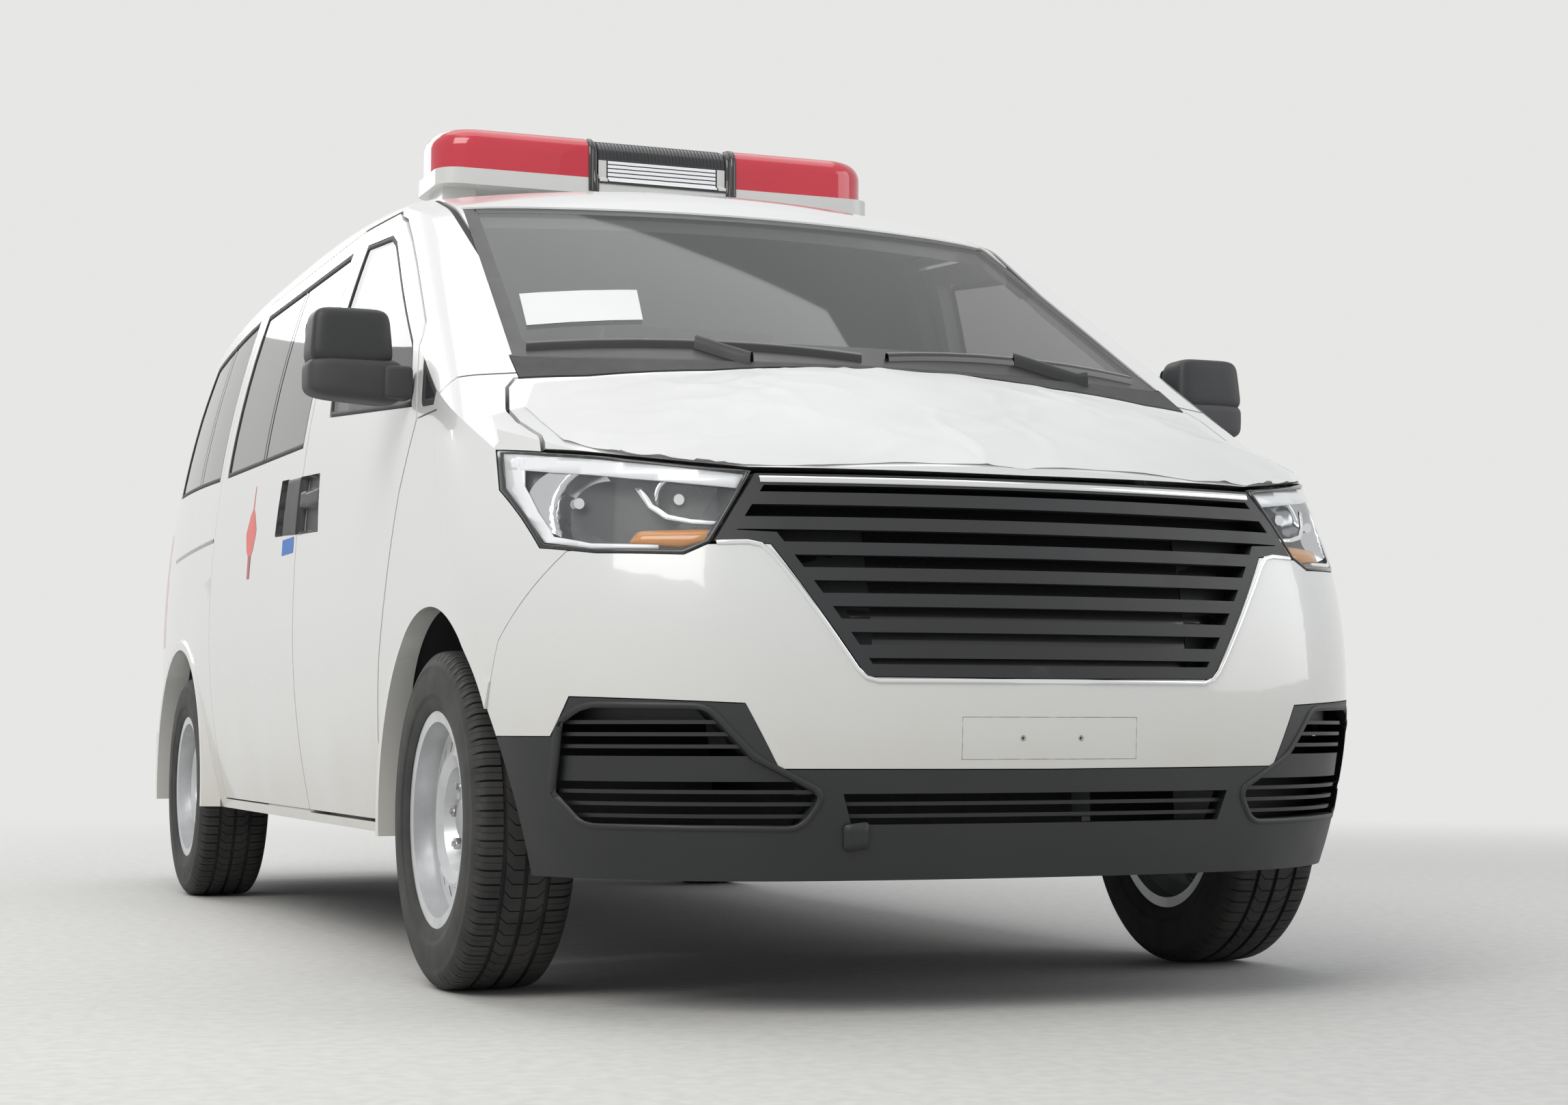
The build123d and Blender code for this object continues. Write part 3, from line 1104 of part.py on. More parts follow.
with BuildPart() as driveline:
    add(block(-GEARBOX_X, GEARBOX_X, *GEARBOX_Y, RAIL_LOW, GEARBOX_TOP, 20))
    with BuildSketch(Plane.XZ.offset(-GEARBOX_Y[1])) as face:
        with Locations((0, RAIL_LOW)):
            Circle(SHAFT_R)
    extrude(face.sketch, amount=GEARBOX_Y[1] - REAR_AXLE_Y)
    add(rear_axle.part, mode=Mode.SUBTRACT)
    shaft_and_box = driveline.part.solids().sort_by(SortBy.VOLUME)[-1]
with BuildPart() as gearbox_and_shaft:
    add(shaft_and_box)
save(gearbox_and_shaft, "gearbox_and_propshaft")

with BuildPart() as exhaust:
    for radius, y0, y1 in ((MUFFLER_R, *MUFFLER_Y), (PIPE_R, MUFFLER_Y[1], EXHAUST_END_Y), (PIPE_R, GEARBOX_Y[0], MUFFLER_Y[0])):
        with BuildSketch(Plane.XZ.offset(-y0)) as face:
            with Locations((EXHAUST_X, EXHAUST_Z)):
                Circle(radius)
        extrude(face.sketch, amount=y0 - y1)
    y = CROSS_Y[2]
    add(block(EXHAUST_X - 15, EXHAUST_X + 15, y - 15, y + 15, EXHAUST_Z, RAIL_LOW + RAIL_H))
save(exhaust, "exhaust")

with BuildPart() as fuel_tank:
    add(block(*TANK_X, *TANK_Y, TANK_LOW, RAIL_LOW, 60))
save(fuel_tank, "fuel_tank")

# Front carrier behind the bumper, grille and lamps, and the hinges of what opens

with BuildPart() as front_carrier:
    add(INNER)
    add(CARRIER_INNER, mode=Mode.SUBTRACT)
    add(block(-BIG, BIG, NOSE_NEAR, CARRIER_REAR_Y, *CARRIER_Z), mode=Mode.INTERSECT)
    add(block(-CARRIER_OPENING[0], CARRIER_OPENING[0], NOSE_NEAR, CARRIER_REAR_Y, *CARRIER_OPENING[1:]),
        mode=Mode.SUBTRACT)
    add(block(-RADIATOR_X, RADIATOR_X, *RADIATOR_Y, FRAME_TOP, RADIATOR_TOP))
    add(block(-RADIATOR_X, RADIATOR_X, NOSE_NEAR, RADIATOR_Y[0], CARRIER_Z[0], CARRIER_OPENING[1]))
    for side in (-1, 1):
        low, high = sorted((side * (RAIL_X - RAIL_W / 2), side * RAIL_OUT))
        add(block(low, high, NOSE_NEAR, FRAME_FRONT_Y, RAIL_LOW, RAIL_LOW + RAIL_H))
    add(INNER, mode=Mode.INTERSECT)
save(front_carrier, "front_carrier")

with BuildPart() as hinge_brackets:
    add(block(FLOOR_HALF_W, DOOR_HINGE[0], *DOOR_BRACKET))
    firewall_face = FIREWALL[-1][0] - FIREWALL_T
    add(block(BONNET_HINGE_X, BONNET_HINGE_X + HINGE_W, firewall_face - 70, firewall_face, 1135, 1400))
    add(block(TAILGATE_HINGE_X, TAILGATE_HINGE_X + HINGE_W, TAILGATE_TOP[0] - 60, TAILGATE_TOP[0] + 25, 1770, 2000))
    mirror(about=Plane.YZ)
    add(envelope(WALL + TOUCH).part, mode=Mode.INTERSECT)
save(hinge_brackets, "hinge_brackets")

# Light bar

with BuildPart() as bar_base:
    add(block(-BAR_HALF, BAR_HALF, BAR_Y - BAR_DEPTH / 2, BAR_Y + BAR_DEPTH / 2, BAR_BASE_Z, BAR_BASE_Z + BAR_BASE_H, 60))
    for x in (-BAR_FOOT_X, BAR_FOOT_X):
        add(block(x - 45, x + 45, BAR_Y - 70, BAR_Y + 70, BAR_BASE_Z - 100, BAR_BASE_Z))
    add(OUTER, mode=Mode.SUBTRACT)
save(bar_base, "light_bar_base")
with BuildPart() as bar_middle:
    add(block(-BAR_MIDDLE_HALF, BAR_MIDDLE_HALF, BAR_Y - BAR_DEPTH / 2 + 12, BAR_Y + BAR_DEPTH / 2 - 12,
              BAR_BASE_Z + BAR_BASE_H, BAR_TOP_Z - 4))
    fillet(bar_middle.edges().filter_by(Axis.X).group_by(Axis.Z)[-1], radius=50)
save(bar_middle, "light_bar_speaker")
with BuildPart() as lens:
    with BuildSketch(Plane.XY.offset(BAR_BASE_Z + BAR_BASE_H)) as face:
        with Locations(((BAR_MIDDLE_HALF + BAR_HALF) / 2 - 60, BAR_Y)):
            RectangleRounded(BAR_HALF - BAR_MIDDLE_HALF + 120, BAR_DEPTH, BAR_DEPTH / 2 - 20)
        with Locations((BAR_MIDDLE_HALF / 2, BAR_Y)):
            Rectangle(BAR_MIDDLE_HALF, BAR_DEPTH * 2, mode=Mode.SUBTRACT)
    extrude(face.sketch, amount=BAR_TOP_Z - BAR_BASE_Z - BAR_BASE_H)
    fillet(lens.faces().sort_by(Axis.Z)[-1].edges().filter_by(lambda e: e.center().X > BAR_MIDDLE_HALF + 5), radius=46)
pair(lens.part.solids()[0], "light_bar_lenses")

# Mirrors and flaps

with BuildPart() as door_mirror:
    add(block(*MIRROR_X, *MIRROR_Y, *MIRROR_Z))
    fillet(door_mirror.edges(), radius=24)
    add(block(MIRROR_X[0] - 80, MIRROR_X[0] + 30, *MIRROR_ARM_Y, *MIRROR_ARM_Z))
    add(OUTER, mode=Mode.SUBTRACT)
right_and_left(door_mirror.part.solids().sort_by(SortBy.VOLUME)[-1], "door_mirror")

with BuildPart() as mud_flaps:
    for axle_y in (FRONT_AXLE_Y, REAR_AXLE_Y):
        y = axle_y + WELL_R + LINER
        for side in (1, -1):
            low, high = sorted((side * FLAP_X[0], side * FLAP_X[1]))
            add(block(low, high, y, y + FLAP_T, *FLAP_Z))
save(mud_flaps, "mud_flaps")
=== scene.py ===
import json
import math

import bmesh
import bpy
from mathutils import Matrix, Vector
from mathutils.bvhtree import BVHTree


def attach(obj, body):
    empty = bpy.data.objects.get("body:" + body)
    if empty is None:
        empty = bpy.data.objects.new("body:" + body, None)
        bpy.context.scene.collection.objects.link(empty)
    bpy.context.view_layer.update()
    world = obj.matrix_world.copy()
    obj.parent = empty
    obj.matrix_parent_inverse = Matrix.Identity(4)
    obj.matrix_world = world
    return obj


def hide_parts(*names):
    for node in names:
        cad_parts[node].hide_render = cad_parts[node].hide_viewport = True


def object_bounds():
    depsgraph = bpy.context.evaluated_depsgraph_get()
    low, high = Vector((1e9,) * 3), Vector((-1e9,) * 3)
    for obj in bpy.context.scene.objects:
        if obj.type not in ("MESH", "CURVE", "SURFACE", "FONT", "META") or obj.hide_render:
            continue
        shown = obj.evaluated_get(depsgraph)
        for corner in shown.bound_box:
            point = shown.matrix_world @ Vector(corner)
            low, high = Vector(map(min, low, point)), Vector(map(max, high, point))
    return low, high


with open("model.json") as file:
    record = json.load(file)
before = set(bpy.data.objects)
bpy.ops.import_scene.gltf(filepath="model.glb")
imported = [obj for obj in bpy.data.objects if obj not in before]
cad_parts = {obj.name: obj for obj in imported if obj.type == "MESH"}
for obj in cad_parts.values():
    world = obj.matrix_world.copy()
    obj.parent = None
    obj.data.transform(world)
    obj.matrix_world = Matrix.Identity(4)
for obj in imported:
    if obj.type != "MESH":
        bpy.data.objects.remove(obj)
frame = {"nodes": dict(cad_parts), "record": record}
cad_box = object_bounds()
NODES = frame["nodes"]

# Materials, one per slot of the record and some for the added pieces


def nodes_of(name):
    """New material with its tree, shader and texture coordinates."""
    mat = bpy.data.materials.new(name)
    mat.use_nodes = True
    tree = mat.node_tree
    shader = tree.nodes["Principled BSDF"]
    coords = tree.nodes.new("ShaderNodeTexCoord")
    return mat, tree, shader, coords


def noise(tree, coords, scale, detail):
    texture = tree.nodes.new("ShaderNodeTexNoise")
    texture.inputs["Scale"].default_value = scale
    texture.inputs["Detail"].default_value = detail
    tree.links.new(coords.outputs["Object"], texture.inputs["Vector"])
    return texture.outputs["Fac"]


def blend_colours(tree, factor, low, high, edges=(0.35, 0.65)):
    ramp = tree.nodes.new("ShaderNodeValToRGB")
    ramp.color_ramp.elements[0].position, ramp.color_ramp.elements[1].position = edges
    ramp.color_ramp.elements[0].color = (*low, 1)
    ramp.color_ramp.elements[1].color = (*high, 1)
    tree.links.new(factor, ramp.inputs["Fac"])
    return ramp.outputs["Color"]


def remapped(tree, value, end, low, high, kind="LINEAR"):
    """Value mapped between 0 to 1 and a range: end says whether it comes From or goes To the range."""
    node = tree.nodes.new("ShaderNodeMapRange")
    node.interpolation_type = kind
    node.inputs[end + " Min"].default_value = low
    node.inputs[end + " Max"].default_value = high
    tree.links.new(value, node.inputs["Value"])
    return node.outputs["Result"]


def combined(tree, operation, first, second):
    """Two values through a maths node."""
    node = tree.nodes.new("ShaderNodeMath")
    node.operation = operation
    tree.links.new(first, node.inputs[0])
    tree.links.new(second, node.inputs[1])
    return node.outputs["Value"]


def add_bump(tree, shader, factor, strength, distance=0.001, previous=None):
    bump = tree.nodes.new("ShaderNodeBump")
    bump.inputs["Strength"].default_value = strength
    bump.inputs["Distance"].default_value = distance
    tree.links.new(factor, bump.inputs["Height"])
    if previous is not None:
        tree.links.new(previous, bump.inputs["Normal"])
    tree.links.new(bump.outputs["Normal"], shader.inputs["Normal"])
    return bump.outputs["Normal"]


def surface(name, colour, rough=0.5, metal=0.0, coat=0.0, shade=0.08, grain=(60.0, 0.0), cloud=2.0,
            rough_range=0.08):
    """Plain material: slight colour clouds, roughness variation and a fine grain."""
    mat, tree, shader, coords = nodes_of(name)
    low = tuple(max(0.0, c * (1 - shade)) for c in colour)
    high = tuple(min(1.0, c * (1 + shade / 2)) for c in colour)
    clouds = noise(tree, coords, cloud, 4.0)
    tree.links.new(blend_colours(tree, clouds, low, high), shader.inputs["Base Color"])
    low, high = max(0.02, rough - rough_range), min(1.0, rough + rough_range)
    spread = remapped(tree, noise(tree, coords, cloud * 6, 3.0), "To", low, high)
    tree.links.new(spread, shader.inputs["Roughness"])
    shader.inputs["Metallic"].default_value = metal
    shader.inputs["Coat Weight"].default_value = coat
    shader.inputs["Coat Roughness"].default_value = 0.04
    if grain[1]:
        add_bump(tree, shader, noise(tree, coords, grain[0], 2.0), grain[1])
    return mat


DUST = (0.62, 0.56, 0.46, 1)
DUST_NONE_Z, DUST_FULL_Z = 0.80, 0.22


def paint(name, colour):
    """Gloss paint with a little road dust low down."""
    mat, tree, shader, coords = nodes_of(name)
    split = tree.nodes.new("ShaderNodeSeparateXYZ")
    tree.links.new(coords.outputs["Object"], split.inputs["Vector"])
    height = remapped(tree, split.outputs["Z"], "From", DUST_NONE_Z, DUST_FULL_Z)
    dust = combined(tree, "MULTIPLY", height, noise(tree, coords, 3.0, 6.0))
    duller = tuple(c * 0.985 for c in colour)
    clean = blend_colours(tree, noise(tree, coords, 1.1, 2.0), duller, colour, (0.0, 1.0))
    dirt = tree.nodes.new("ShaderNodeMix")
    dirt.data_type = "RGBA"
    tree.links.new(dust, dirt.inputs["Factor"])
    tree.links.new(clean, dirt.inputs["A"])
    dirt.inputs["B"].default_value = DUST
    tree.links.new(dirt.outputs["Result"], shader.inputs["Base Color"])
    tree.links.new(remapped(tree, dust, "To", 0.24, 0.6), shader.inputs["Roughness"])
    shader.inputs["Coat Weight"].default_value = 0.9
    shader.inputs["Coat Roughness"].default_value = 0.05
    add_bump(tree, shader, noise(tree, coords, 210.0, 1.0), 0.015, 0.0005)
    return mat


def clear(name, colour, alpha, rough=0.03, coat=0.6):
    """Glass shown by partial cover, so that it exports."""
    mat, tree, shader, coords = nodes_of(name)
    smeared = blend_colours(tree, noise(tree, coords, 3.0, 5.0), tuple(c * 0.92 for c in colour), colour)
    tree.links.new(smeared, shader.inputs["Base Color"])
    shader.inputs["Roughness"].default_value = rough
    shader.inputs["Alpha"].default_value = alpha
    shader.inputs["Coat Weight"].default_value = coat
    shader.inputs["Specular IOR Level"].default_value = 0.6
    return mat


def tread_rubber(name, dusty):
    """Tyre rubber, dull black going to dusty in patches."""
    mat, tree, shader, coords = nodes_of(name)
    black = (0.016, 0.016, 0.017)
    colour = blend_colours(tree, noise(tree, coords, 14.0, 6.0), black, dusty, (0.3, 0.8))
    tree.links.new(colour, shader.inputs["Base Color"])
    shader.inputs["Roughness"].default_value = 0.72
    first = add_bump(tree, shader, noise(tree, coords, 350.0, 2.0), 0.12, 0.0006)
    add_bump(tree, shader, noise(tree, coords, 30.0, 2.0), 0.05, 0.001, first)
    return mat


THREAD = 150.0


def woven(name, colour):
    """Seat cloth: fine crossing threads and a soft sheen."""
    mat, tree, shader, coords = nodes_of(name)
    shader.inputs["Roughness"].default_value = 0.85
    shader.inputs["Sheen Weight"].default_value = 0.35
    waves = []
    for direction in ("X", "Y"):
        wave = tree.nodes.new("ShaderNodeTexWave")
        wave.bands_direction = direction
        wave.inputs["Scale"].default_value = THREAD
        wave.inputs["Distortion"].default_value = 0.6
        tree.links.new(coords.outputs["Object"], wave.inputs["Vector"])
        waves.append(wave.outputs["Fac"])
    cross = combined(tree, "MULTIPLY", *waves)
    low, high = tuple(c * 0.75 for c in colour), tuple(min(1, c * 1.2) for c in colour)
    tree.links.new(blend_colours(tree, cross, low, high, (0.1, 0.9)), shader.inputs["Base Color"])
    add_bump(tree, shader, cross, 0.3, 0.0008)
    return mat


WHITE = (0.73, 0.735, 0.72)
MATS = {
    "white_paint": paint("white_paint", WHITE),
    "bumper_paint": paint("bumper_paint", WHITE),
    "dark_plastic": surface("dark_plastic", (0.022, 0.023, 0.025), 0.5, grain=(420.0, 0.25), shade=0.2),
    "cabin_plastic": surface("cabin_plastic", (0.05, 0.05, 0.053), 0.6, grain=(300.0, 0.3), shade=0.2),
    "upholstery": woven("upholstery", (0.10, 0.105, 0.12)),
    "frame_paint": surface("frame_paint", (0.02, 0.02, 0.022), 0.65, grain=(90.0, 0.2), shade=0.4,
                           cloud=9.0),
    "black_metal": surface("black_metal", (0.03, 0.03, 0.032), 0.6, grain=(60.0, 0.15), shade=0.3,
                           cloud=6.0),
    "floor_metal": surface("floor_metal", (0.2, 0.2, 0.21), 0.55, grain=(120.0, 0.3), shade=0.3),
    "cast_metal": surface("cast_metal", (0.16, 0.155, 0.15), 0.6, 0.8, grain=(140.0, 0.5), shade=0.35,
                          cloud=12.0),
    "exhaust_steel": surface("exhaust_steel", (0.33, 0.29, 0.26), 0.45, 0.9, grain=(80.0, 0.2), shade=0.4,
                             cloud=8.0),
    "cabin_panel": surface("cabin_panel", (0.55, 0.555, 0.55), 0.5, grain=(200.0, 0.15), shade=0.06),
    "rim_steel": surface("rim_steel", (0.60, 0.61, 0.62), 0.34, 0.55, 0.3, grain=(160.0, 0.06), shade=0.15,
                         cloud=9.0),
    "tyre_rubber": tread_rubber("tyre_rubber", (0.05, 0.048, 0.045)),
    "rubber": surface("rubber", (0.018, 0.018, 0.019), 0.7, grain=(200.0, 0.2), shade=0.25),
    "reflector": surface("reflector", (0.62, 0.63, 0.65), 0.14, 1.0, rough_range=0.04, shade=0.06),
    "lamp_glass": clear("lamp_glass", (0.85, 0.88, 0.9), 0.05, 0.02, 0.5),
    "clear_glass": clear("clear_glass", (0.02, 0.028, 0.028), 0.42, 0.02, 0.35),
    "tinted_glass": clear("tinted_glass", (0.012, 0.014, 0.016), 0.9),
    "red_lens": clear("red_lens", (0.62, 0.01, 0.035), 0.9, 0.12),
    "bar_shell": surface("bar_shell", (0.62, 0.62, 0.60), 0.35, coat=0.3, grain=(150.0, 0.05)),
    "bar_speaker": surface("bar_speaker", (0.5, 0.5, 0.49), 0.3, 0.9, grain=(300.0, 0.08), shade=0.1),
    "lamp_white": surface("lamp_white", (0.86, 0.87, 0.88), 0.2, coat=0.6, shade=0.03),
    # grey for the thin lines painted as shadow round the plate panels
    "seam_grey": surface("seam_grey", (0.30, 0.30, 0.29), 0.6, shade=0.1),
    "chrome": surface("chrome", (0.8, 0.81, 0.82), 0.08, 1.0, rough_range=0.02, shade=0.02),
    "black_gloss": surface("black_gloss", (0.012, 0.012, 0.013), 0.22, coat=0.5, shade=0.2),
    "frit": surface("frit", (0.012, 0.012, 0.013), 0.35, shade=0.1, grain=(500.0, 0.1)),
    "coral": surface("coral", (0.78, 0.10, 0.075), 0.45, coat=0.2, shade=0.08, grain=(260.0, 0.08)),
    "deep_red": surface("deep_red", (0.50, 0.03, 0.035), 0.45, coat=0.2, shade=0.08, grain=(260.0, 0.08)),
    "blue_tape": surface("blue_tape", (0.045, 0.17, 0.52), 0.55, shade=0.12, grain=(300.0, 0.2)),
    "amber": clear("amber", (0.75, 0.30, 0.05), 0.8, 0.1),
    "paper": surface("paper", (0.80, 0.80, 0.78), 0.85, shade=0.03, grain=(700.0, 0.15)),
    "mirror": surface("mirror", (0.75, 0.77, 0.78), 0.04, 1.0, rough_range=0.01, shade=0.01),
    "nut_steel": surface("nut_steel", (0.45, 0.45, 0.46), 0.35, 0.9, shade=0.2, grain=(200.0, 0.1)),
    "film": clear("film", (0.76, 0.76, 0.745), 0.95, 0.5, 0.1),
    "vinyl": surface("vinyl", (0.075, 0.16, 0.22), 0.42, coat=0.15, shade=0.12, grain=(500.0, 0.15)),
    "lens_white": clear("lens_white", (0.8, 0.8, 0.8), 0.85, 0.1),
    "lamp_dark": surface("lamp_dark", (0.05, 0.052, 0.058), 0.3, 0.3, shade=0.2),
}

SLOT_OF = {row["node"]: row["material_slot"] for row in frame["record"]["subparts"]}
for name, node in NODES.items():
    node.data.materials.clear()
    node.data.materials.append(MATS[SLOT_OF[name]])

# Mesh helpers, in metres


def piece(name, vertices, faces, mat, body="body", smooth=True):
    """Mesh of its own, kept within the box of the part."""
    mesh = bpy.data.meshes.new(name)
    kept = [tuple(min(max(c, low), high) for c, low, high in zip(v, *cad_box)) for v in vertices]
    mesh.from_pydata(kept, [], faces)
    mesh.update()
    obj = bpy.data.objects.new(name, mesh)
    bpy.context.scene.collection.objects.link(obj)
    obj.data.materials.append(MATS[mat])
    for polygon in mesh.polygons:
        polygon.use_smooth = smooth
    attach(obj, body)
    return obj


def tree_of(*names):
    """Search tree over some CAD nodes at rest."""
    vertices, faces = [], []
    for name in names:
        start, mesh = len(vertices), NODES[name].data
        vertices += [v.co.copy() for v in mesh.vertices]
        faces += [[start + i for i in p.vertices] for p in mesh.polygons]
    return BVHTree.FromPolygons(vertices, faces)


def resample(points, step, closed=True):
    """Points along a polyline, no further apart than step, its corners kept."""
    ends = points[1:] + points[:1] if closed else points[1:]
    out = []
    for a, b in zip(points, ends):
        a, b = Vector(a), Vector(b)
        count = max(1, math.ceil((b - a).length / step))
        out += [a.lerp(b, k / count) for k in range(count)]
    if not closed:
        out.append(Vector(points[-1]))
    return out


def inset(points, amount):
    """Closed outline in 2D moved inwards by amount."""
    points = [Vector(p) for p in points]
    area = sum(a.x * b.y - b.x * a.y for a, b in zip(points, points[1:] + points[:1]))
    sign = 1 if area > 0 else -1
    out = []
    for i, p in enumerate(points):
        before, after = points[i - 1], points[(i + 1) % len(points)]
        a, b = (p - before).normalized(), (after - p).normalized()
        na, nb = Vector((-a.y, a.x)) * sign, Vector((-b.y, b.x)) * sign
        mid = na + nb
        mid = mid * (amount / max(0.35, mid.length_squared / 2)) if mid.length > 1e-6 else na * amount
        out.append(p + mid)
    return out


def rounded(points, radius, steps=4):
    """Closed outline in 2D with its corners rounded."""
    out = []
    points = [Vector(p) for p in points]
    for i, p in enumerate(points):
        before, after = points[i - 1], points[(i + 1) % len(points)]
        r = min(radius, (p - before).length * 0.45, (after - p).length * 0.45)
        a, b = p + (before - p).normalized() * r, p + (after - p).normalized() * r
        for k in range(steps + 1):
            t = k / steps
            out.append(a * (1 - t) ** 2 + p * 2 * t * (1 - t) + b * t * t)
    return out


SEARCH = (0.001, 0.003, 0.006, 0.012, 0.02, 0.035, 0.06, 0.1)
BESIDE, BEYOND, OVER = 1.6, 3.2, 3.0


def thrown(tree, points, throw, lift=0.0):
    """2D points thrown on a surface: throw gives each one's start and direction.

    A point just past the surface's edge takes the depth of the nearest place that is on it.
    """
    compass = [Vector((math.cos(math.radians(45 * k)), math.sin(math.radians(45 * k)))) for k in range(8)]
    tries = [Vector((0, 0))] + [c * reach for reach in SEARCH for c in compass]
    out = []
    for point in points:
        start, direction = throw(Vector(point))
        for aside in tries:
            near = throw(Vector(point) + aside)[0]
            where = tree.ray_cast(near, direction)[0]
            if where is not None:
                break
        else:
            raise RuntimeError(f"nothing to lay a point on at {tuple(point)}")
        out.append(start + direction * ((where - near).dot(direction) - lift))
    return out


def from_side(sign):
    return lambda p: (Vector((sign * BESIDE, p[0], p[1])), Vector((-sign, 0, 0)))


def from_front(p):
    return Vector((p[0], -BEYOND, p[1])), Vector((0, 1, 0))


def from_rear(p):
    return Vector((p[0], BEYOND, p[1])), Vector((0, -1, 0))


def from_above(p):
    return Vector((p[0], p[1], OVER)), Vector((0, 0, -1))


def ring_faces(count, rows, closed=True):
    """Four-sided faces between rows of count vertices each."""
    faces = []
    for row in range(rows - 1):
        for k in range(count if closed else count - 1):
            a, b = row * count + k, row * count + (k + 1) % count
            faces.append((a, b, b + count, a + count))
    return faces


BAND_EDGE = 0.0015


def band(name, outline, width, tree, throw, lift, mat, body="body", step=0.03, depth=0.003):
    """Flat strip just inside a closed outline, laid on a surface, with turned-down edges."""
    outer = resample(outline, step)
    rows = [outer, inset(outer, BAND_EDGE), inset(outer, width - BAND_EDGE), inset(outer, width)]
    lifts = [lift - depth, lift, lift, lift - depth]
    vertices = []
    for row, up in zip(rows, lifts):
        vertices += thrown(tree, row, throw, up)
    return piece(name, vertices, ring_faces(len(outer), 4), mat, body, True)


def patch(name, outline, tree, throw, lift, mat, body="body", step=0.02, thick=0.0):
    """Filled sheet inside a closed outline, laid on a surface."""
    outer = resample(outline, step)
    mesh = bmesh.new()
    loop = [mesh.verts.new((p[0], p[1], 0)) for p in outer]
    mesh.faces.new(loop)
    low = [min(p[i] for p in outer) for i in (0, 1)]
    high = [max(p[i] for p in outer) for i in (0, 1)]
    for axis in (0, 1):
        count = max(1, math.ceil((high[axis] - low[axis]) / step))
        for k in range(1, count):
            at = low[axis] + (high[axis] - low[axis]) * k / count
            point, normal = [0.0, 0.0, 0.0], [0.0, 0.0, 0.0]
            point[axis], normal[axis] = at, 1.0
            geometry = mesh.verts[:] + mesh.edges[:] + mesh.faces[:]
            bmesh.ops.bisect_plane(mesh, geom=geometry, plane_co=point, plane_no=normal, dist=1e-7)
    mesh.verts.index_update()
    flat = [(v.co.x, v.co.y) for v in mesh.verts]
    faces = [[v.index for v in f.verts] for f in mesh.faces]
    mesh.free()
    obj = piece(name, thrown(tree, flat, throw, lift), faces, mat, body, True)
    if thick:
        solid = obj.modifiers.new("thickness", "SOLIDIFY")
        solid.thickness, solid.offset = thick, 0
    return obj


def lathe(name, profile, centre, out, mat, body, segments=96):
    """Surface of revolution about an X axis: profile of (distance out, radius)."""
    vertices = []
    for along, radius in profile:
        for k in range(segments):
            turn = 2 * math.pi * k / segments
            spoke = Vector((out * along, radius * math.cos(turn), radius * math.sin(turn)))
            vertices.append(Vector(centre) + spoke)
    return piece(name, vertices, ring_faces(segments, len(profile)), mat, body, True)


def box(name, low, high, mat, body="body", round_by=0.004):
    """Upright box with rounded edges."""
    x0, y0, z0 = low
    x1, y1, z1 = high
    corners = [(x, y, z) for x in (x0, x1) for y in (y0, y1) for z in (z0, z1)]
    faces = [(0, 1, 3, 2), (4, 6, 7, 5), (0, 4, 5, 1), (2, 3, 7, 6), (0, 2, 6, 4), (1, 5, 7, 3)]
    obj = piece(name, corners, faces, mat, body, True)
    rounding = obj.modifiers.new("bevel", "BEVEL")
    rounding.width, rounding.segments = round_by, 3
    rounding.limit_method, rounding.angle_limit = "ANGLE", math.radians(35)
    rounding.harden_normals = True
    return obj


def tube(name, points, radius, mat, body="body", resolution=4):
    """Rounded rod along a smooth line."""
    curve = bpy.data.curves.new(name, "CURVE")
    curve.dimensions, curve.bevel_depth, curve.bevel_resolution = "3D", radius, resolution
    curve.use_fill_caps = True
    spline = curve.splines.new("POLY")
    spline.points.add(len(points) - 1)
    for target, point in zip(spline.points, points):
        target.co = (*point, 1)
    obj = bpy.data.objects.new(name, curve)
    bpy.context.scene.collection.objects.link(obj)
    obj.data.materials.append(MATS[mat])
    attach(obj, body)
    return obj


BEAD = ((-1, -0.4), (-0.85, 0.55), (-0.4, 0.95), (0.4, 0.95), (0.85, 0.55), (1, -0.4))


def trim(name, line, width, tree, throw, height, mat, body="body", step=0.012, closed=False):
    """Rounded bead along a line in 2D, laid on a surface."""
    points = resample(line, step, closed)
    count = len(points)
    across = []
    for i, point in enumerate(points):
        before = points[i - 1] if i or closed else point
        after = points[(i + 1) % count] if i < count - 1 or closed else point
        run = (after - before).normalized()
        across.append(Vector((-run.y, run.x)))
    vertices = []
    for share, up in BEAD:
        row = [p + a * share * width / 2 for p, a in zip(points, across)]
        vertices += thrown(tree, row, throw, height * up)
    return piece(name, vertices, ring_faces(count, 6, closed), mat, body, True)


NEAR_POLE = 0.998


def soft_box(name, low, high, square, mat, body="body", shape=None, rows=24, columns=48):
    """Closed rounded form: a box whose edges are rounder the nearer square is to 1."""
    low, high = Vector(low), Vector(high)
    centre, half = (low + high) / 2, (high - low) / 2

    def power(value):
        return math.copysign(abs(value) ** square, value)

    vertices = []
    for row in range(rows + 1):
        tilt = math.pi * (row / rows - 0.5) * NEAR_POLE
        for column in range(columns):
            turn = 2 * math.pi * column / columns
            level = power(math.cos(tilt))
            point = Vector((level * power(math.cos(turn)), level * power(math.sin(turn)), power(math.sin(tilt))))
            if shape:
                point = shape(point)
            vertices.append(centre + Vector(a * b for a, b in zip(half, point)))
    faces = ring_faces(columns, rows + 1)
    faces += [tuple(range(columns))[::-1], tuple(range(rows * columns, (rows + 1) * columns))]
    return piece(name, vertices, faces, mat, body, True)


def mm(points):
    """Points given in millimetres, in metres."""
    return [tuple(c / 1000 for c in p) for p in points]


# Shapes repeated from the part, in metres

